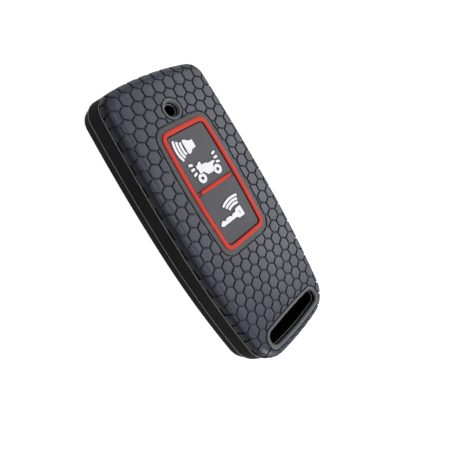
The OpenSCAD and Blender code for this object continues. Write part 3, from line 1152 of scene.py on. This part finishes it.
    def build(self) -> bpy.types.Object:
        """Makes the skin as one closed piece.

        Returns:
            The piece.
        """
        sheet = self.sheet()
        q = sheet.points
        past = self.past_edge(q)
        outward = self.plan.distance(q)[1]
        sine = np.clip(past / SHOULDER_R, 0, 1)
        cosine = np.sqrt(1 - sine**2)
        gap, share = self.wall_gap(q)
        drop = self.groove_drop(gap)
        depth = drop - self.crown * (1 - share**2) * (1 - drop / GROOVE_DEPTH)
        normal = np.column_stack([outward * sine[:, None], cosine])
        base = np.column_stack([q, FRONT_Z - SHOULDER_R * (1 - cosine)])
        surface = Surface()
        top = surface.ring(base - depth[:, None] * normal)
        # The lower part of the shoulder has a darker, less glossy copy of the grip's finish: painted
        # shade
        rolled = past[sheet.triangles].mean(axis=1) / SHOULDER_R
        for tri, shaded in zip(sheet.triangles, rolled > self.shade_share):
            surface.add_face(top[tri], int(shaded))
        f = self.finishes
        finishes = [f.grip, f.shoulder, f.sleeve]
        plain = finishes.index(f.sleeve)
        outer, *inner = sheet.borders()
        foot = Outline(q[outer] - outward[outer] * SHOULDER_R, outward[outer])
        made = surface.loft(self.wall_rings(foot, depth[outer]), finishes=(plain,))
        surface.bridge(made[-1], top[outer], plain)
        holes = []
        for loop in inner:
            holes.append(surface.ring(lifted(q[loop], FRONT_Z - self.skin_t)))
            surface.bridge(holes[-1], top[loop], plain)
        surface.fill(made[0], holes, up=False)
        return surface.piece("honeycomb_grip", finishes)

    def dress(self) -> None:
        """Builds the skin and puts it on the sleeve."""
        place(self.build(), Body.SLEEVE, Slot.GRIP, "hex_grip")


@dataclass
class SleeveShell:
    """The hollow moulding: walls, parting ridge, back with its window, and cavity."""

    finishes: Finishes
    side_wall: float = 1.6
    lip_t: float = 1.4
    cavity_edge_r: float = 1.4
    back_draft: float = 0.25
    back_edge_r: float = 1.0
    bury: float = 0.58
    hidden: float = 0.3

    # Offset from the side wall and height, down to the lip
    cavity_profile: tuple[Pair, ...] = (
        (0.0, 7.6), (0.0, PARTING_Z), (0.0, 1.8), (0.1, 1.52), (0.35, lip_t),
    )
    # Inset and height, from the back edge over both ridges to the foot of the grip
    outside_profile: tuple[Pair, ...] = (
        (0.19, 2.6), (0.14, 4.22), (0.13, 4.34), (0.06, 4.4), (0.018, 4.45), (0.018, 4.52),
        (0.05, 4.58), (0.08, 4.68), (0.15, 6.5), (0.22, 8.5), (0.285, 10.3), (0.295, 10.5),
        (0.26, 10.55), (0.2, 10.6), (0.185, 10.67), (0.21, 10.75), (0.3, 10.795),
        (0.44, BAND_TOP_Z), (SIDE_DRAFT + bury, BAND_TOP_Z),
    )
    # Bands of the outside that run over a ridge; they get the lighter, glossier polished finish, a
    # painted highlight line with real gloss
    ridge_bands: tuple[int, ...] = (10, 11, 12, 13, 18, 19, 20, 21, 22)
    # Inset and depth of the soft edge of an opening
    soft_edge: tuple[Pair, ...] = ((-0.3, 0.0), (-0.12, 0.04), (-0.03, 0.12), (0.0, 0.28))

    def ring(self, inset: float, z: float) -> np.ndarray:
        """A ring of the body at an inset and a height."""
        return body_plan(z).outline(BODY_STEPS).at(inset, z)

    def cavity_rings(self) -> list[np.ndarray]:
        """Runs from the edge of the ceiling down the cavity's wall to the lip.

        Returns:
            The rings.
        """
        wall = SIDE_DRAFT + self.side_wall
        r = self.cavity_edge_r
        rings = [
            self.ring(wall + r * inwards, CEILING_Z - r * below)
            for inwards, below in quarter_turn(5)[::-1]
        ]
        return rings + [self.ring(wall + shift, z) for shift, z in self.cavity_profile]

    def outside_rings(self) -> list[np.ndarray]:
        """Runs from the back face up the outside, over the ridges, to the buried front.

        Returns:
            The rings.
        """
        r = self.back_edge_r
        rings = [
            self.ring(self.back_draft + r * below, r * inwards)
            for inwards, below in quarter_turn(6)
        ]
        rings += [self.ring(inset, z) for inset, z in self.outside_profile]
        r = SHOULDER_R - self.bury
        side, crest = SIDE_DRAFT + self.bury, FRONT_Z - self.bury
        rings += [
            self.ring(side + r * inwards, crest - r * below) for inwards, below in quarter_turn(4)
        ]
        return rings

    def edge_rings(self, plan: Plan) -> list[np.ndarray]:
        """Runs through an opening in the back, from the inner face out.

        Args:
            plan: Shape of the opening.

        Returns:
            The rings, with a soft edge at both ends.
        """
        line = plan.outline(TRIM_STEPS)
        inner = [line.at(inset, self.lip_t - depth) for inset, depth in self.soft_edge]
        return inner + [line.at(inset, depth) for inset, depth in self.soft_edge[::-1]]

    def build(self) -> bpy.types.Object:
        """Makes the shell as one closed piece.

        Returns:
            The piece.
        """
        surface = Surface()
        cavity = surface.loft(self.cavity_rings())
        rings = self.outside_rings()
        # The ridge bands take the polished finish: a painted highlight line
        polished = [int(k in self.ridge_bands) for k in range(len(rings))]
        outside = surface.loft(rings, finishes=polished)
        back_holes = [surface.loft(self.edge_rings(plan)) for plan in (WINDOW, BACK_SLOT)]
        surface.fill(cavity[-1], [h[0] for h in back_holes], up=True)
        surface.fill(outside[0], [h[-1] for h in back_holes], up=False)
        openings = (
            (FRAME.outline(TRIM_STEPS), FRAME_BAND - self.hidden),
            (circle_outline(LAMP_HOLE_R, LAMP_Y), 0.0),
            (SLOT.outline(TRIM_STEPS), -self.hidden),
        )
        front_holes = [
            surface.loft([line.at(inset, FRONT_Z - self.bury), line.at(inset, CEILING_Z)])
            for line, inset in openings
        ]
        surface.fill(outside[-1], [h[0] for h in front_holes], up=True)
        surface.fill(cavity[0], [h[-1] for h in front_holes], up=False)
        return surface.piece("sleeve_shell", [self.finishes.sleeve, self.finishes.polished])

    def dress(self) -> None:
        """Builds the shell and puts it on the sleeve."""
        place(self.build(), Body.SLEEVE, Slot.SLEEVE, "sleeve")


@dataclass
class FrontTrim:
    """Plain parts of the front: button panel, web between the pads, collar and slot rim."""

    finishes: Finishes
    channel_z: float = 13.62
    web_half_w: float = 0.52
    web_half_l: float = 7.3
    web_soft: float = 0.05
    web_sink: float = 0.1
    collar_steps: int = 72
    bead_steps: int = 14
    bead_foot_z: float = 13.2
    bead_side_z: float = 13.9
    narrow_w: float = 0.8
    broadening: float = 0.4

    # Radius and height of the collar, round its section
    collar_profile: tuple[Pair, ...] = (
        (2.3, 12.6), (COLLAR_R, 13.2), (COLLAR_R, 13.86), (2.78, 13.96), (2.72, 14.04), (2.63, 14.08),
        (2.5, 14.09), (2.37, 14.06), (2.24, 13.99), (2.12, 13.88), (2.02, 13.73), (1.93, 13.52),
        (1.86, 13.26), (1.8, 12.98), (1.76, 12.7), (1.73, 12.76), (1.68, 12.79), (1.61, 12.78),
        (1.55, 12.73), (1.52, 12.65), (1.5, 12.5), (1.5, 12.2), (1.54, 12.1), (2.0, 12.1),
    )
    # Inset and height of the slot's wall, from the bead down
    slot_profile: tuple[Pair, ...] = (
        (0.0, 13.5), (-0.01, 13.1), (0.0, 12.66), (0.04, 12.62), (0.1, 12.57), (0.13, 12.5),
        (0.12, 12.4), (0.06, 12.2), (-0.16, 12.1), (-0.6, 12.1),
    )

    def panel(self) -> bpy.types.Object:
        """Makes the plain panel with the frame's channel and the wall of the pads' opening.

        Returns:
            The piece.
        """
        p, f = PANEL.outline(TRIM_STEPS), FRAME.outline(TRIM_STEPS)
        band = FRAME_BAND
        rows = (
            (p, 0.0, 13.3), (p, 0.0, 13.78), (p, 0.03, 13.88), (p, 0.1, 13.96), (p, 0.2, FRONT_Z),
            (f, -0.12, FRONT_Z), (f, -0.05, 13.99), (f, -0.01, 13.95), (f, 0.0, 13.88),
            (f, 0.0, self.channel_z), (f, band, self.channel_z), (f, band, 12.25),
            (f, band - 0.04, 12.14), (f, band - 0.12, 12.1), (f, band - 0.45, 12.1),
            (p, 0.6, 12.9),
        )
        surface = Surface()
        surface.loft([line.at(inset, z) for line, inset, z in rows], closed=True)
        return surface.piece("button_panel", [self.finishes.panel])

    def web(self) -> bpy.types.Object:
        """Makes the strip of front wall between the two pads, which carries the bar.

        Returns:
            The piece.
        """
        half_w, soft = self.web_half_w, self.web_soft
        softer = soft * 0.3
        low, high = CEILING_Z - self.web_sink, FRONT_Z - self.web_sink
        section = (
            (-half_w, low + soft), (-half_w + soft, low), (half_w - soft, low), (half_w, low + soft),
            (half_w, high - soft), (half_w - softer, high - softer), (half_w - soft, high),
            (-half_w + soft, high), (-half_w + softer, high - softer), (-half_w, high - soft),
        )
        surface = Surface()
        made = surface.loft(
            [
                np.array([(self.web_half_l * share, y + DIVIDER_Y, z) for y, z in section])
                for share in (-1.0, -0.5, 0.0, 0.5, 1.0)
            ]
        )
        surface.add_face(made[0][::-1])
        surface.add_face(made[-1])
        return surface.piece("pad_web", [self.finishes.panel])

    def collar(self) -> bpy.types.Object:
        """Makes the round collar with its dished mouth, and the small lip in its hole, whose lighter
        polished finish is a painted glint with real gloss.

        Returns:
            The piece.
        """
        f = self.finishes
        # The lip's lighter polished finish is a painted glint
        mouth, throat, lip = 12 * (0,), 2 * (1,), 5 * (2,)
        surface = Surface()
        surface.loft(
            [circle_outline(r, LAMP_Y, self.collar_steps).at(0.0, z) for r, z in self.collar_profile],
            closed=True,
            finishes=(*mouth, *throat, *lip, 1),
        )
        return surface.piece("lamp_collar", [f.rim, f.sleeve, f.polished])

    def rim(self) -> bpy.types.Object:
        """Makes the soft bead round the ring slot, with the wall of the slot and its ledge, whose
        lighter polished finish is a painted highlight line with real gloss.

        Returns:
            The piece.
        """
        f = self.finishes
        outer, inner = RIM.outline(TRIM_STEPS), SLOT.outline(TRIM_STEPS)
        width = np.linalg.norm(outer.points - inner.points, axis=1)
        breadth = np.clip((width - self.narrow_w) / self.broadening, 0.0, 1.0)
        sink = 0.2 * breadth
        height = 0.12 + 0.5 * breadth
        power = 0.4 + 0.5 * breadth
        rings = [outer.at(0.0, self.bead_foot_z)]
        for k in range(self.bead_steps + 1):
            a = math.pi * k / self.bead_steps
            ring = outer.towards(inner, (1 - math.cos(a)) / 2, self.bead_side_z)
            ring[:, 2] -= sink
            ring[:, 2] += height * math.sin(a) ** power
            rings.append(ring)
        rings += [inner.at(inset, z) for inset, z in self.slot_profile]
        # The ledge's lighter polished finish is a painted highlight line
        bead, wall, ledge = (self.bead_steps + 1) * (0,), 2 * (1,), 4 * (2,)
        surface = Surface()
        surface.loft(rings, closed=True, finishes=(1, *bead, *wall, *ledge, 1))
        return surface.piece("slot_rim", [f.rim, f.sleeve, f.polished])

    def dress(self) -> None:
        """Builds the plain parts and puts them on the sleeve."""
        for piece in (self.panel(), self.web(), self.collar(), self.rim()):
            place(piece, Body.SLEEVE, Slot.SLEEVE)


@dataclass
class RedTrim:
    """The red frame round the pads and the red bar between them."""

    finishes: Finishes
    base_z: float = 13.6
    side_z: float = 14.02
    crest_z: float = 14.35
    fullness: float = 0.6
    bead_steps: int = 12

    # Inset and height of the bar's rounded crest
    bar_profile: tuple[Pair, ...] = (
        (0.0, 13.9), (0.0, 14.12), (0.03, 14.2), (0.09, 14.27), (0.18, 14.32), (0.3, 14.35),
    )

    def frame(self) -> bpy.types.Object:
        """Makes the frame as a rounded bead in its channel.

        Returns:
            The piece.
        """
        line = FRAME.outline(TRIM_STEPS)
        rings = [line.at(0.0, self.base_z)]
        for k in range(self.bead_steps + 1):
            a = math.pi * k / self.bead_steps
            reach = math.copysign(abs(math.cos(a)) ** self.fullness, math.cos(a))
            z = self.side_z + (self.crest_z - self.side_z) * math.sin(a) ** self.fullness
            rings.append(line.at(FRAME_BAND * (1 - reach) / 2, z))
        rings.append(line.at(FRAME_BAND, self.base_z))
        surface = Surface()
        surface.loft(rings, closed=True)
        return surface.piece("red_frame_bead", [self.finishes.red])

    def bar(self) -> bpy.types.Object:
        """Makes the bar, with rounded ends and a rounded crest.

        Returns:
            The piece.
        """
        surface = Surface()
        surface.stack(BAR.outline(BAR_STEPS), self.bar_profile)
        return surface.piece("red_divider_bar", [self.finishes.red])

    def dress(self) -> None:
        """Builds the red parts and puts them on the sleeve."""
        place(self.frame(), Body.SLEEVE, Slot.RED, "red_frame")
        place(self.bar(), Body.SLEEVE, Slot.RED, "divider_bar")


def soft_corners(corners: np.ndarray, radius: float, steps: int = 4) -> np.ndarray:
    """Rounds the corners of a closed line.

    Args:
        corners: The line's corners, counter-clockwise.
        radius: Length that is taken off each side of a corner.
        steps: Points along each rounded corner.

    Returns:
        The rounded line.
    """
    longest_share = 0.45
    made = []
    for before, here, after in zip(np.roll(corners, 1, 0), corners, np.roll(corners, -1, 0)):
        ends = []
        for other in (before, after):
            away = other - here
            length = np.linalg.norm(away)
            ends.append(here + away / length * min(radius, length * longest_share))
        for t in np.arange(steps) / (steps - 1):
            made.append((1 - t) ** 2 * ends[0] + 2 * t * (1 - t) * here + t * t * ends[1])
    return np.array(made)


def shrunk(loop: np.ndarray, amount: float) -> np.ndarray:
    """Moves a closed line to its left, with mitred corners.

    Args:
        loop: The line's points.
        amount: How far it moves.

    Returns:
        The moved line.
    """
    sharpest = 0.3
    before = unit(loop - np.roll(loop, 1, 0))
    after = unit(np.roll(loop, -1, 0) - loop)
    left = (before + after)[:, ::-1] * (-1.0, 1.0)
    size = np.maximum((left**2).sum(axis=1, keepdims=True) / 2, sharpest)
    return loop + left / size * amount


def capsule(a: np.ndarray, b: np.ndarray, w: float, steps: int = 8) -> np.ndarray:
    """A stroke with round ends, as a closed line.

    Args:
        a: Middle of the first end.
        b: Middle of the second end.
        w: Width of the stroke.
        steps: Steps round each end.

    Returns:
        The line, counter-clockwise.
    """
    turn = np.linspace(-math.pi / 2, math.pi / 2, steps + 1) + bearing(a, b)
    cap = directions(turn) * w / 2
    return np.concatenate([cap + b, -cap + a])


def arc_stroke(
    focus: np.ndarray,
    radius: float,
    first: float,
    last: float,
    w: float,
    steps: int = 14,
    cap_steps: int = 9,
    bulge: float = 0.3,
) -> np.ndarray:
    """A curved stroke with soft square ends, as a closed line.

    Args:
        focus: Centre of the arc.
        radius: Radius of its middle line.
        first: First angle in degrees.
        last: Last angle in degrees.
        w: Width of the stroke.
        steps: Steps along the arc.
        cap_steps: Steps round each end.
        bulge: How far the ends stand out, as a share of the width.

    Returns:
        The line, counter-clockwise.
    """
    square = 0.6
    way = directions(np.radians(np.linspace(first, last, steps + 1)))
    outer = focus + way * (radius + w / 2)
    inner = focus + way[::-1] * (radius - w / 2)
    turn = np.linspace(0, math.pi, cap_steps + 1)[1:-1]
    across = np.sign(np.cos(turn)) * np.abs(np.cos(turn)) ** square * w / 2
    ahead = np.sin(turn) ** square * w * bulge
    caps = []
    for end, sign in ((way[-1], 1), (way[0], -1)):
        along = np.array([-end[1], end[0]]) * sign
        caps.append(focus + end * radius + across[:, None] * end * sign + ahead[:, None] * along)
    return np.concatenate([outer, caps[0], inner, caps[1]])


# A closed line with the lines round its holes
Patch = tuple[np.ndarray, Sequence[np.ndarray]]

# Corners of the horn, in its heights
HORN_SHARES = (
    (-0.4, -0.5), (-0.2, -0.5), (0.09, -0.29), (0.4, -0.28), (0.4, 0.28), (0.09, 0.29),
    (-0.2, 0.5), (-0.4, 0.5),
)
# Corners of the motorcycle's body, in wheelbases
BIKE_SHARES = (
    (-0.52, 0.48), (-0.47, 0.38), (-0.52, 0.17), (-0.38, 0.17), (-0.3, 0.25), (-0.1, 0.02),
    (0.31, 0.01), (0.34, 0.18), (0.41, 0.32), (0.57, 0.36), (0.55, 0.45), (0.2, 0.46),
    (0.04, 0.54), (-0.2, 0.55), (-0.17, 0.67), (-0.25, 0.72), (-0.34, 0.69), (-0.38, 0.62),
    (-0.52, 0.6),
)
# Corners of the key, in its lengths
KEY_SHARES = (
    (-0.64, -0.015), (-0.575, -0.08), (0.046, -0.08), (0.115, -0.15), (0.362, -0.155),
    (0.362, 0.145), (0.328, 0.172), (0.132, 0.167), (0.07, 0.085), (-0.057, 0.08),
    (-0.126, 0.034), (-0.195, 0.08), (-0.333, 0.08), (-0.408, 0.034), (-0.517, 0.092),
)


@dataclass
class SymbolField:
    """The square field of a pad, with raised inlays that are white on top."""

    finishes: Finishes
    body: Body
    middle: Pair
    size: float
    wave_pitch: float = 0.069
    wave_stroke: float = 0.73
    wave_reach: float = 17.5
    wave_growth: float = 2.0
    base_z: float = 13.85
    crest_z: float = 14.15
    soft: float = 0.04

    def spot(self, shares: Pair) -> np.ndarray:
        """A place in the field, given in its sizes from its middle."""
        return np.array(self.middle) + np.array(shares) * self.size

    def build(self, name: str, patches: Sequence[Patch]) -> bpy.types.Object:
        """Makes all parts of a symbol as one piece of closed solids.

        Args:
            name: Name of the piece.
            patches: The symbol's parts in plan.

        Returns:
            The piece.
        """
        softer = self.soft * 0.3
        rows = (
            (0.0, self.base_z), (0.0, self.crest_z - self.soft),
            (softer, self.crest_z - softer), (self.soft, self.crest_z),
        )
        surface = Surface()
        for outer, holes in patches:
            made = [
                surface.loft([lifted(shrunk(loop, inset), z) for inset, z in rows], finishes=(1, 0))
                for loop in (outer, *holes)
            ]
            surface.fill(made[0][-1], [m[-1] for m in made[1:]], up=True, finish=0)
            surface.fill(made[0][0], [m[0] for m in made[1:]], up=False, finish=1)
        return surface.piece(name, [self.finishes.white, self.finishes.panel])

    def dress_symbol(self, name: str, node: str, patches: Sequence[Patch]) -> None:
        """Builds one symbol and puts it on the pad."""
        place(self.build(name, patches), self.body, Slot.WHITE, node)

    def waves(self, focus: np.ndarray, direction: float, first_r: float) -> list[Patch]:
        """Three arcs that spread one way from a focus.

        Args:
            focus: Where the arcs have their centre.
            direction: Where they spread to, in degrees.
            first_r: Radius of the first arc.

        Returns:
            Their lines.
        """
        pitch = self.wave_pitch * self.size
        patches = []
        for k in range(3):
            reach = self.wave_reach + self.wave_growth * k
            angles = direction - reach, direction + reach
            patches.append(
                (arc_stroke(focus, first_r + k * pitch, *angles, pitch * self.wave_stroke), [])
            )
        return patches


@dataclass
class UpperSymbols(SymbolField):
    """Horn with sound waves, and motorcycle with flash marks."""

    body: Body = Body.UPPER
    middle: Pair = (0.0, 16.8)
    size: float = 14.4

    # Places and sizes as shares of the field
    horn_spot: Pair = (-0.083, 0.233)
    horn_h: float = 0.27
    sound_focus: float = 0.18
    sound_r: float = 0.351
    bike_spot: Pair = (0.0, -0.378)
    wheelbase: float = 0.396

    # Shares of the wheelbase
    wheel_share: float = 0.465
    axle_share: float = 0.16
    mark_shares: Pair = (0.73, 0.52)
    mark_step_share: float = 0.225
    mark_l_share: float = 0.065
    mark_w_share: float = 0.12

    # Angles in degrees, and corners in millimetres
    sound_way: float = 180.0
    mark_fan: float = 14.0
    horn_corner: float = 0.3
    bike_corner: float = 0.2
    wheel_steps: int = 40

    def horn(self) -> list[Patch]:
        """Cone and magnet of the horn."""
        corners = np.array(HORN_SHARES) * (self.size * self.horn_h)
        return [(soft_corners(corners, self.horn_corner) + self.spot(self.horn_spot), [])]

    def motorcycle(self) -> list[Patch]:
        """Draws the side view of the motorcycle.

        Returns:
            Its body and its two wheels with their axle holes.
        """
        base = self.size * self.wheelbase
        middle = self.spot(self.bike_spot)
        body = soft_corners(np.array(BIKE_SHARES) * base, self.bike_corner)
        patches = [(body + middle, [])]
        circle = directions(np.linspace(0, 2 * math.pi, self.wheel_steps, endpoint=False))
        for side in (-1, 1):
            hub = middle + np.array([side * base / 2, 0.0])
            wheel = hub + circle * base * self.wheel_share / 2
            axle = hub + circle[::-1] * base * self.axle_share / 2
            patches.append((wheel, [axle]))
        return patches

    def flash_marks(self, side: int) -> list[Patch]:
        """Draws three short marks in a fan beside one end of the motorcycle.

        Args:
            side: -1 for its front end, 1 for its rear end.

        Returns:
            Their lines.
        """
        base = self.size * self.wheelbase
        x, y = self.mark_shares
        patches = []
        for k in (-1, 0, 1):
            shares = np.array([side * x, y + k * self.mark_step_share])
            spot = self.spot(self.bike_spot) + shares * base
            tilt = math.radians(side * k * self.mark_fan)
            tip = np.array([math.cos(tilt), math.sin(tilt)]) * self.mark_l_share * base
            patches.append((capsule(spot - tip, spot + tip, self.mark_w_share * base), []))
        return patches

    def dress(self) -> None:
        """Builds the upper pad's symbols and puts them on it."""
        focus = self.spot(self.horn_spot) + np.array([self.sound_focus * self.size, 0.0])
        sound = self.waves(focus, self.sound_way, self.sound_r * self.size)
        self.dress_symbol("sound_wave_marks", "sound_waves", sound)
        self.dress_symbol("horn_symbol", "speaker_horn", self.horn())
        self.dress_symbol("motorcycle_symbol", "motorcycle", self.motorcycle())
        self.dress_symbol("front_flash_symbol", "front_flash_marks", self.flash_marks(-1))
        self.dress_symbol("rear_flash_symbol", "rear_flash_marks", self.flash_marks(1))


@dataclass
class LowerSymbols(SymbolField):
    """Key with signal waves."""

    body: Body = Body.LOWER
    middle: Pair = (0.0, 0.15)
    size: float = 13.9

    # Places and sizes as shares of the field
    key_spot: Pair = (0.0, -0.107)
    key_l: float = 0.626
    signal_focus: Pair = (0.13, -0.334)
    signal_r: float = 0.416

    # Shares of the key's length
    slit_shares: tuple[Pair, Pair] = ((0.23, -0.03), (0.23, 0.025))
    slit_w_share: float = 0.028

    # Angle in degrees, and corners in millimetres
    signal_way: float = 97.0
    key_corner: float = 0.16

    def key(self) -> list[Patch]:
        """Draws the key with its blade to the left and a slit in its head.

        Returns:
            Its line, with the line round the slit.
        """
        length = self.size * self.key_l
        spot = self.spot(self.key_spot)
        loop = soft_corners(np.array(KEY_SHARES) * length, self.key_corner) + spot
        ends = [spot + np.array(shares) * length for shares in self.slit_shares]
        return [(loop, [capsule(*ends, self.slit_w_share * length)[::-1]])]

    def dress(self) -> None:
        """Builds the lower pad's symbols and puts them on it."""
        focus = self.spot(self.signal_focus)
        signal = self.waves(focus, self.signal_way, self.signal_r * self.size)
        self.dress_symbol("signal_wave_marks", "signal_waves", signal)
        self.dress_symbol("key_blade_symbol", "key_symbol", self.key())


@dataclass
class PushPad:
    """One soft push pad in its opening."""

    finishes: Finishes
    name: str
    node: str
    body: Body
    low_y: float
    high_y: float
    low_corner_r: float
    high_corner_r: float
    slit: float = 0.25
    top_z: float = 13.9
    base_z: float = 12.4

    def line(self) -> Outline:
        """Draws the pad's edge, one slit inside the frame.

        Returns:
            The outline.
        """
        inset = FRAME_BAND + self.slit
        end_r = FRAME_W * STRAIGHT - inset
        side_r = FRAME_SIDE_R - inset
        return Plan(
            FRAME_W / 2 - inset, self.low_y, self.high_y, PANEL_Y, end_r, self.low_corner_r,
            side_r, side_r, self.high_corner_r, end_r,
        ).outline(TRIM_STEPS)

    def build(self) -> bpy.types.Object:
        """Makes the pad with soft edges.

        Returns:
            The piece.
        """
        base, top = self.base_z, self.top_z
        rows = (
            (0.12, base), (0.02, base + 0.1), (0.0, base + 0.3), (0.0, top - 0.09),
            (0.01, top - 0.04), (0.04, top - 0.01), (0.09, top),
        )
        surface = Surface()
        surface.stack(self.line(), rows)
        return surface.piece(self.name, [self.finishes.button])

    def dress(self) -> None:
        """Builds the pad and puts it on its body."""
        place(self.build(), self.body, Slot.BUTTON, self.node)


@dataclass(frozen=True)
class Lamp:
    """A soft lamp that looks at the cover, in metres and watts."""

    name: str
    spot: Triple
    width: float
    height: float
    power: float
    aim: Triple = (0.0, 0.0, 0.01)

    def build(self) -> None:
        """Makes the lamp."""
        data = bpy.data.lights.new(self.name, "AREA")
        data.shape = "RECTANGLE"
        data.size = self.width
        data.size_y = self.height
        data.energy = self.power
        made = in_scene(self.name, data)
        made.location = self.spot
        heading = Vector(self.aim) - Vector(self.spot)
        made.rotation_euler = heading.to_track_quat("-Z", "Y").to_euler()


@dataclass
class Studio:
    """Pale floor, soft lamps and the camera of the photograph."""

    lens: float = 31.3
    sensor_w: float = 36.0
    place: Triple = (-61.54, 15.85, 95.15)
    turn: Triple = (2.8555, -0.8721, 0.9828)
    world_light: float = 0.14
    floor_grey: float = 0.32
    # Floor colour under the cover: painted shadow
    painted_shadow_grey: float = 0.02
    floor_glow: float = 0.9
    hollow_power: float = 4.0

    # In metres
    clip: Pair = (0.005, 20.0)
    floor_reach: float = 6.0
    hollow_half_w: float = 0.0165
    hollow_half_l: float = 0.039
    lamps: tuple[Lamp, ...] = (
        Lamp("sheen_softbox", (0.228, -0.024, 0.237), 0.28, 0.17, 0.77),
        Lamp("shoulder_strip", (-0.08, -0.005, 0.33), 0.3, 0.03, 0.27),
        Lamp("groove_light", (-0.06, -0.28, 0.15), 0.06, 0.06, 0.5),
    )

    def camera(self) -> None:
        """Sets the camera, from its turn as an axis times an angle."""
        axis = Vector(self.turn)
        world_to_camera = Matrix.Rotation(axis.length, 3, axis.normalized())
        made = in_scene("camera", bpy.data.cameras.new("camera"))
        made.data.lens = self.lens
        made.data.sensor_width = self.sensor_w
        made.data.clip_start, made.data.clip_end = self.clip
        flip = Matrix.Diagonal((1.0, -1.0, -1.0))
        pose = (world_to_camera.transposed() @ flip).to_4x4()
        pose.translation = Vector(self.place) * METRES
        made.matrix_world = pose
        bpy.context.scene.camera = made

    def white_for_camera(self, desk: NodeDesk) -> bpy.types.NodeSocket:
        """Finds the rays that see the floor and the world as white.

        Args:
            desk: Desk of the material or world.

        Returns:
            A mask that is 1 for rays from the camera, a gloss or through glass.
        """
        path = desk.add("ShaderNodeLightPath")
        seen = desk.math("MAXIMUM", path.outputs["Is Camera Ray"], path.outputs["Is Glossy Ray"])
        return desk.math("MAXIMUM", seen, path.outputs["Is Transmission Ray"])

    def under_cover(self, desk: NodeDesk) -> bpy.types.NodeSocket:
        """Finds the part of the floor that the hollow cover stands over, which gets a painted shadow.

        Args:
            desk: Desk of the floor's material.

        Returns:
            A mask that is 1 there.
        """
        sides = []
        for axis, half in (("X", self.hollow_half_w), ("Y", self.hollow_half_l)):
            share = desk.math("MULTIPLY", desk.geometry("Position", axis), 1 / half)
            sides.append(desk.math("POWER", share, self.hollow_power))
        return desk.ramp(desk.math("ADD", *sides), (0.75, 1.0), (1.0, 0.0))

    def world(self) -> None:
        """Makes a dim world that the camera sees as white."""
        world = bpy.data.worlds.new("studio")
        bpy.context.scene.world = world
        world.use_nodes = True
        desk = NodeDesk(world.node_tree)
        strength = desk.ramp(self.white_for_camera(desk), (0.0, 1.0), (self.world_light, 1.0))
        back = world.node_tree.nodes["Background"]
        desk.feed(back, {"Color": grey(1.0), "Strength": strength})

    def floor(self) -> None:
        """Makes a wide floor that looks white and keeps the shadow, with a painted shadow under the
        hollow cover.
        """
        mesh = bpy.data.meshes.new("floor")
        corners = ((-1, -1), (1, -1), (1, 1), (-1, 1))
        reach = self.floor_reach
        mesh.from_pydata([(x * reach, y * reach, 0.0) for x, y in corners], [], [(0, 1, 2, 3)])
        made = in_scene("floor", mesh)
        material, desk, shader = node_material("floor_white")
        painted_shadow_area = self.under_cover(desk)
        glow = desk.ramp(self.white_for_camera(desk), (0.0, 1.0), (0.0, self.floor_glow))
        inputs = {
            "Roughness": 0.9,
            "Specular IOR Level": 0.0,
            # Painted shadow: the floor under the cover is darkened and does not glow
            "Base Color": desk.mix(painted_shadow_area, grey(self.floor_grey), grey(self.painted_shadow_grey)),
            "Emission Color": grey(1.0),
            "Emission Strength": desk.math("MULTIPLY", glow, desk.math("SUBTRACT", 1.0, painted_shadow_area)),
        }
        desk.feed(shader, inputs)
        mesh.materials.append(material)

    def build(self) -> None:
        """Sets up the whole studio."""
        self.camera()
        self.world()
        self.floor()
        for lamp in self.lamps:
            lamp.build()
        bpy.context.scene.view_settings.view_transform = "Standard"


def main() -> None:
    """Loads the frame and builds every piece around it."""
    logging.basicConfig(level=logging.INFO, format="%(name)s: %(message)s")
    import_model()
    finishes = Finishes.make()
    HoneycombGrip(finishes).dress()
    SleeveShell(finishes).dress()
    FrontTrim(finishes).dress()
    RedTrim(finishes).dress()
    PushPad(
        finishes,
        "upper_push_pad",
        "upper_button",
        Body.UPPER,
        low_y=8.91,
        high_y=24.1,
        low_corner_r=0.15,
        high_corner_r=0.9,
    ).dress()
    PushPad(
        finishes,
        "lower_push_pad",
        "lower_button",
        Body.LOWER,
        low_y=-6.9,
        high_y=7.79,
        low_corner_r=0.9,
        high_corner_r=0.15,
    ).dress()
    UpperSymbols(finishes).dress()
    LowerSymbols(finishes).dress()
    Studio().build()


if __name__ == "__main__":
    main()
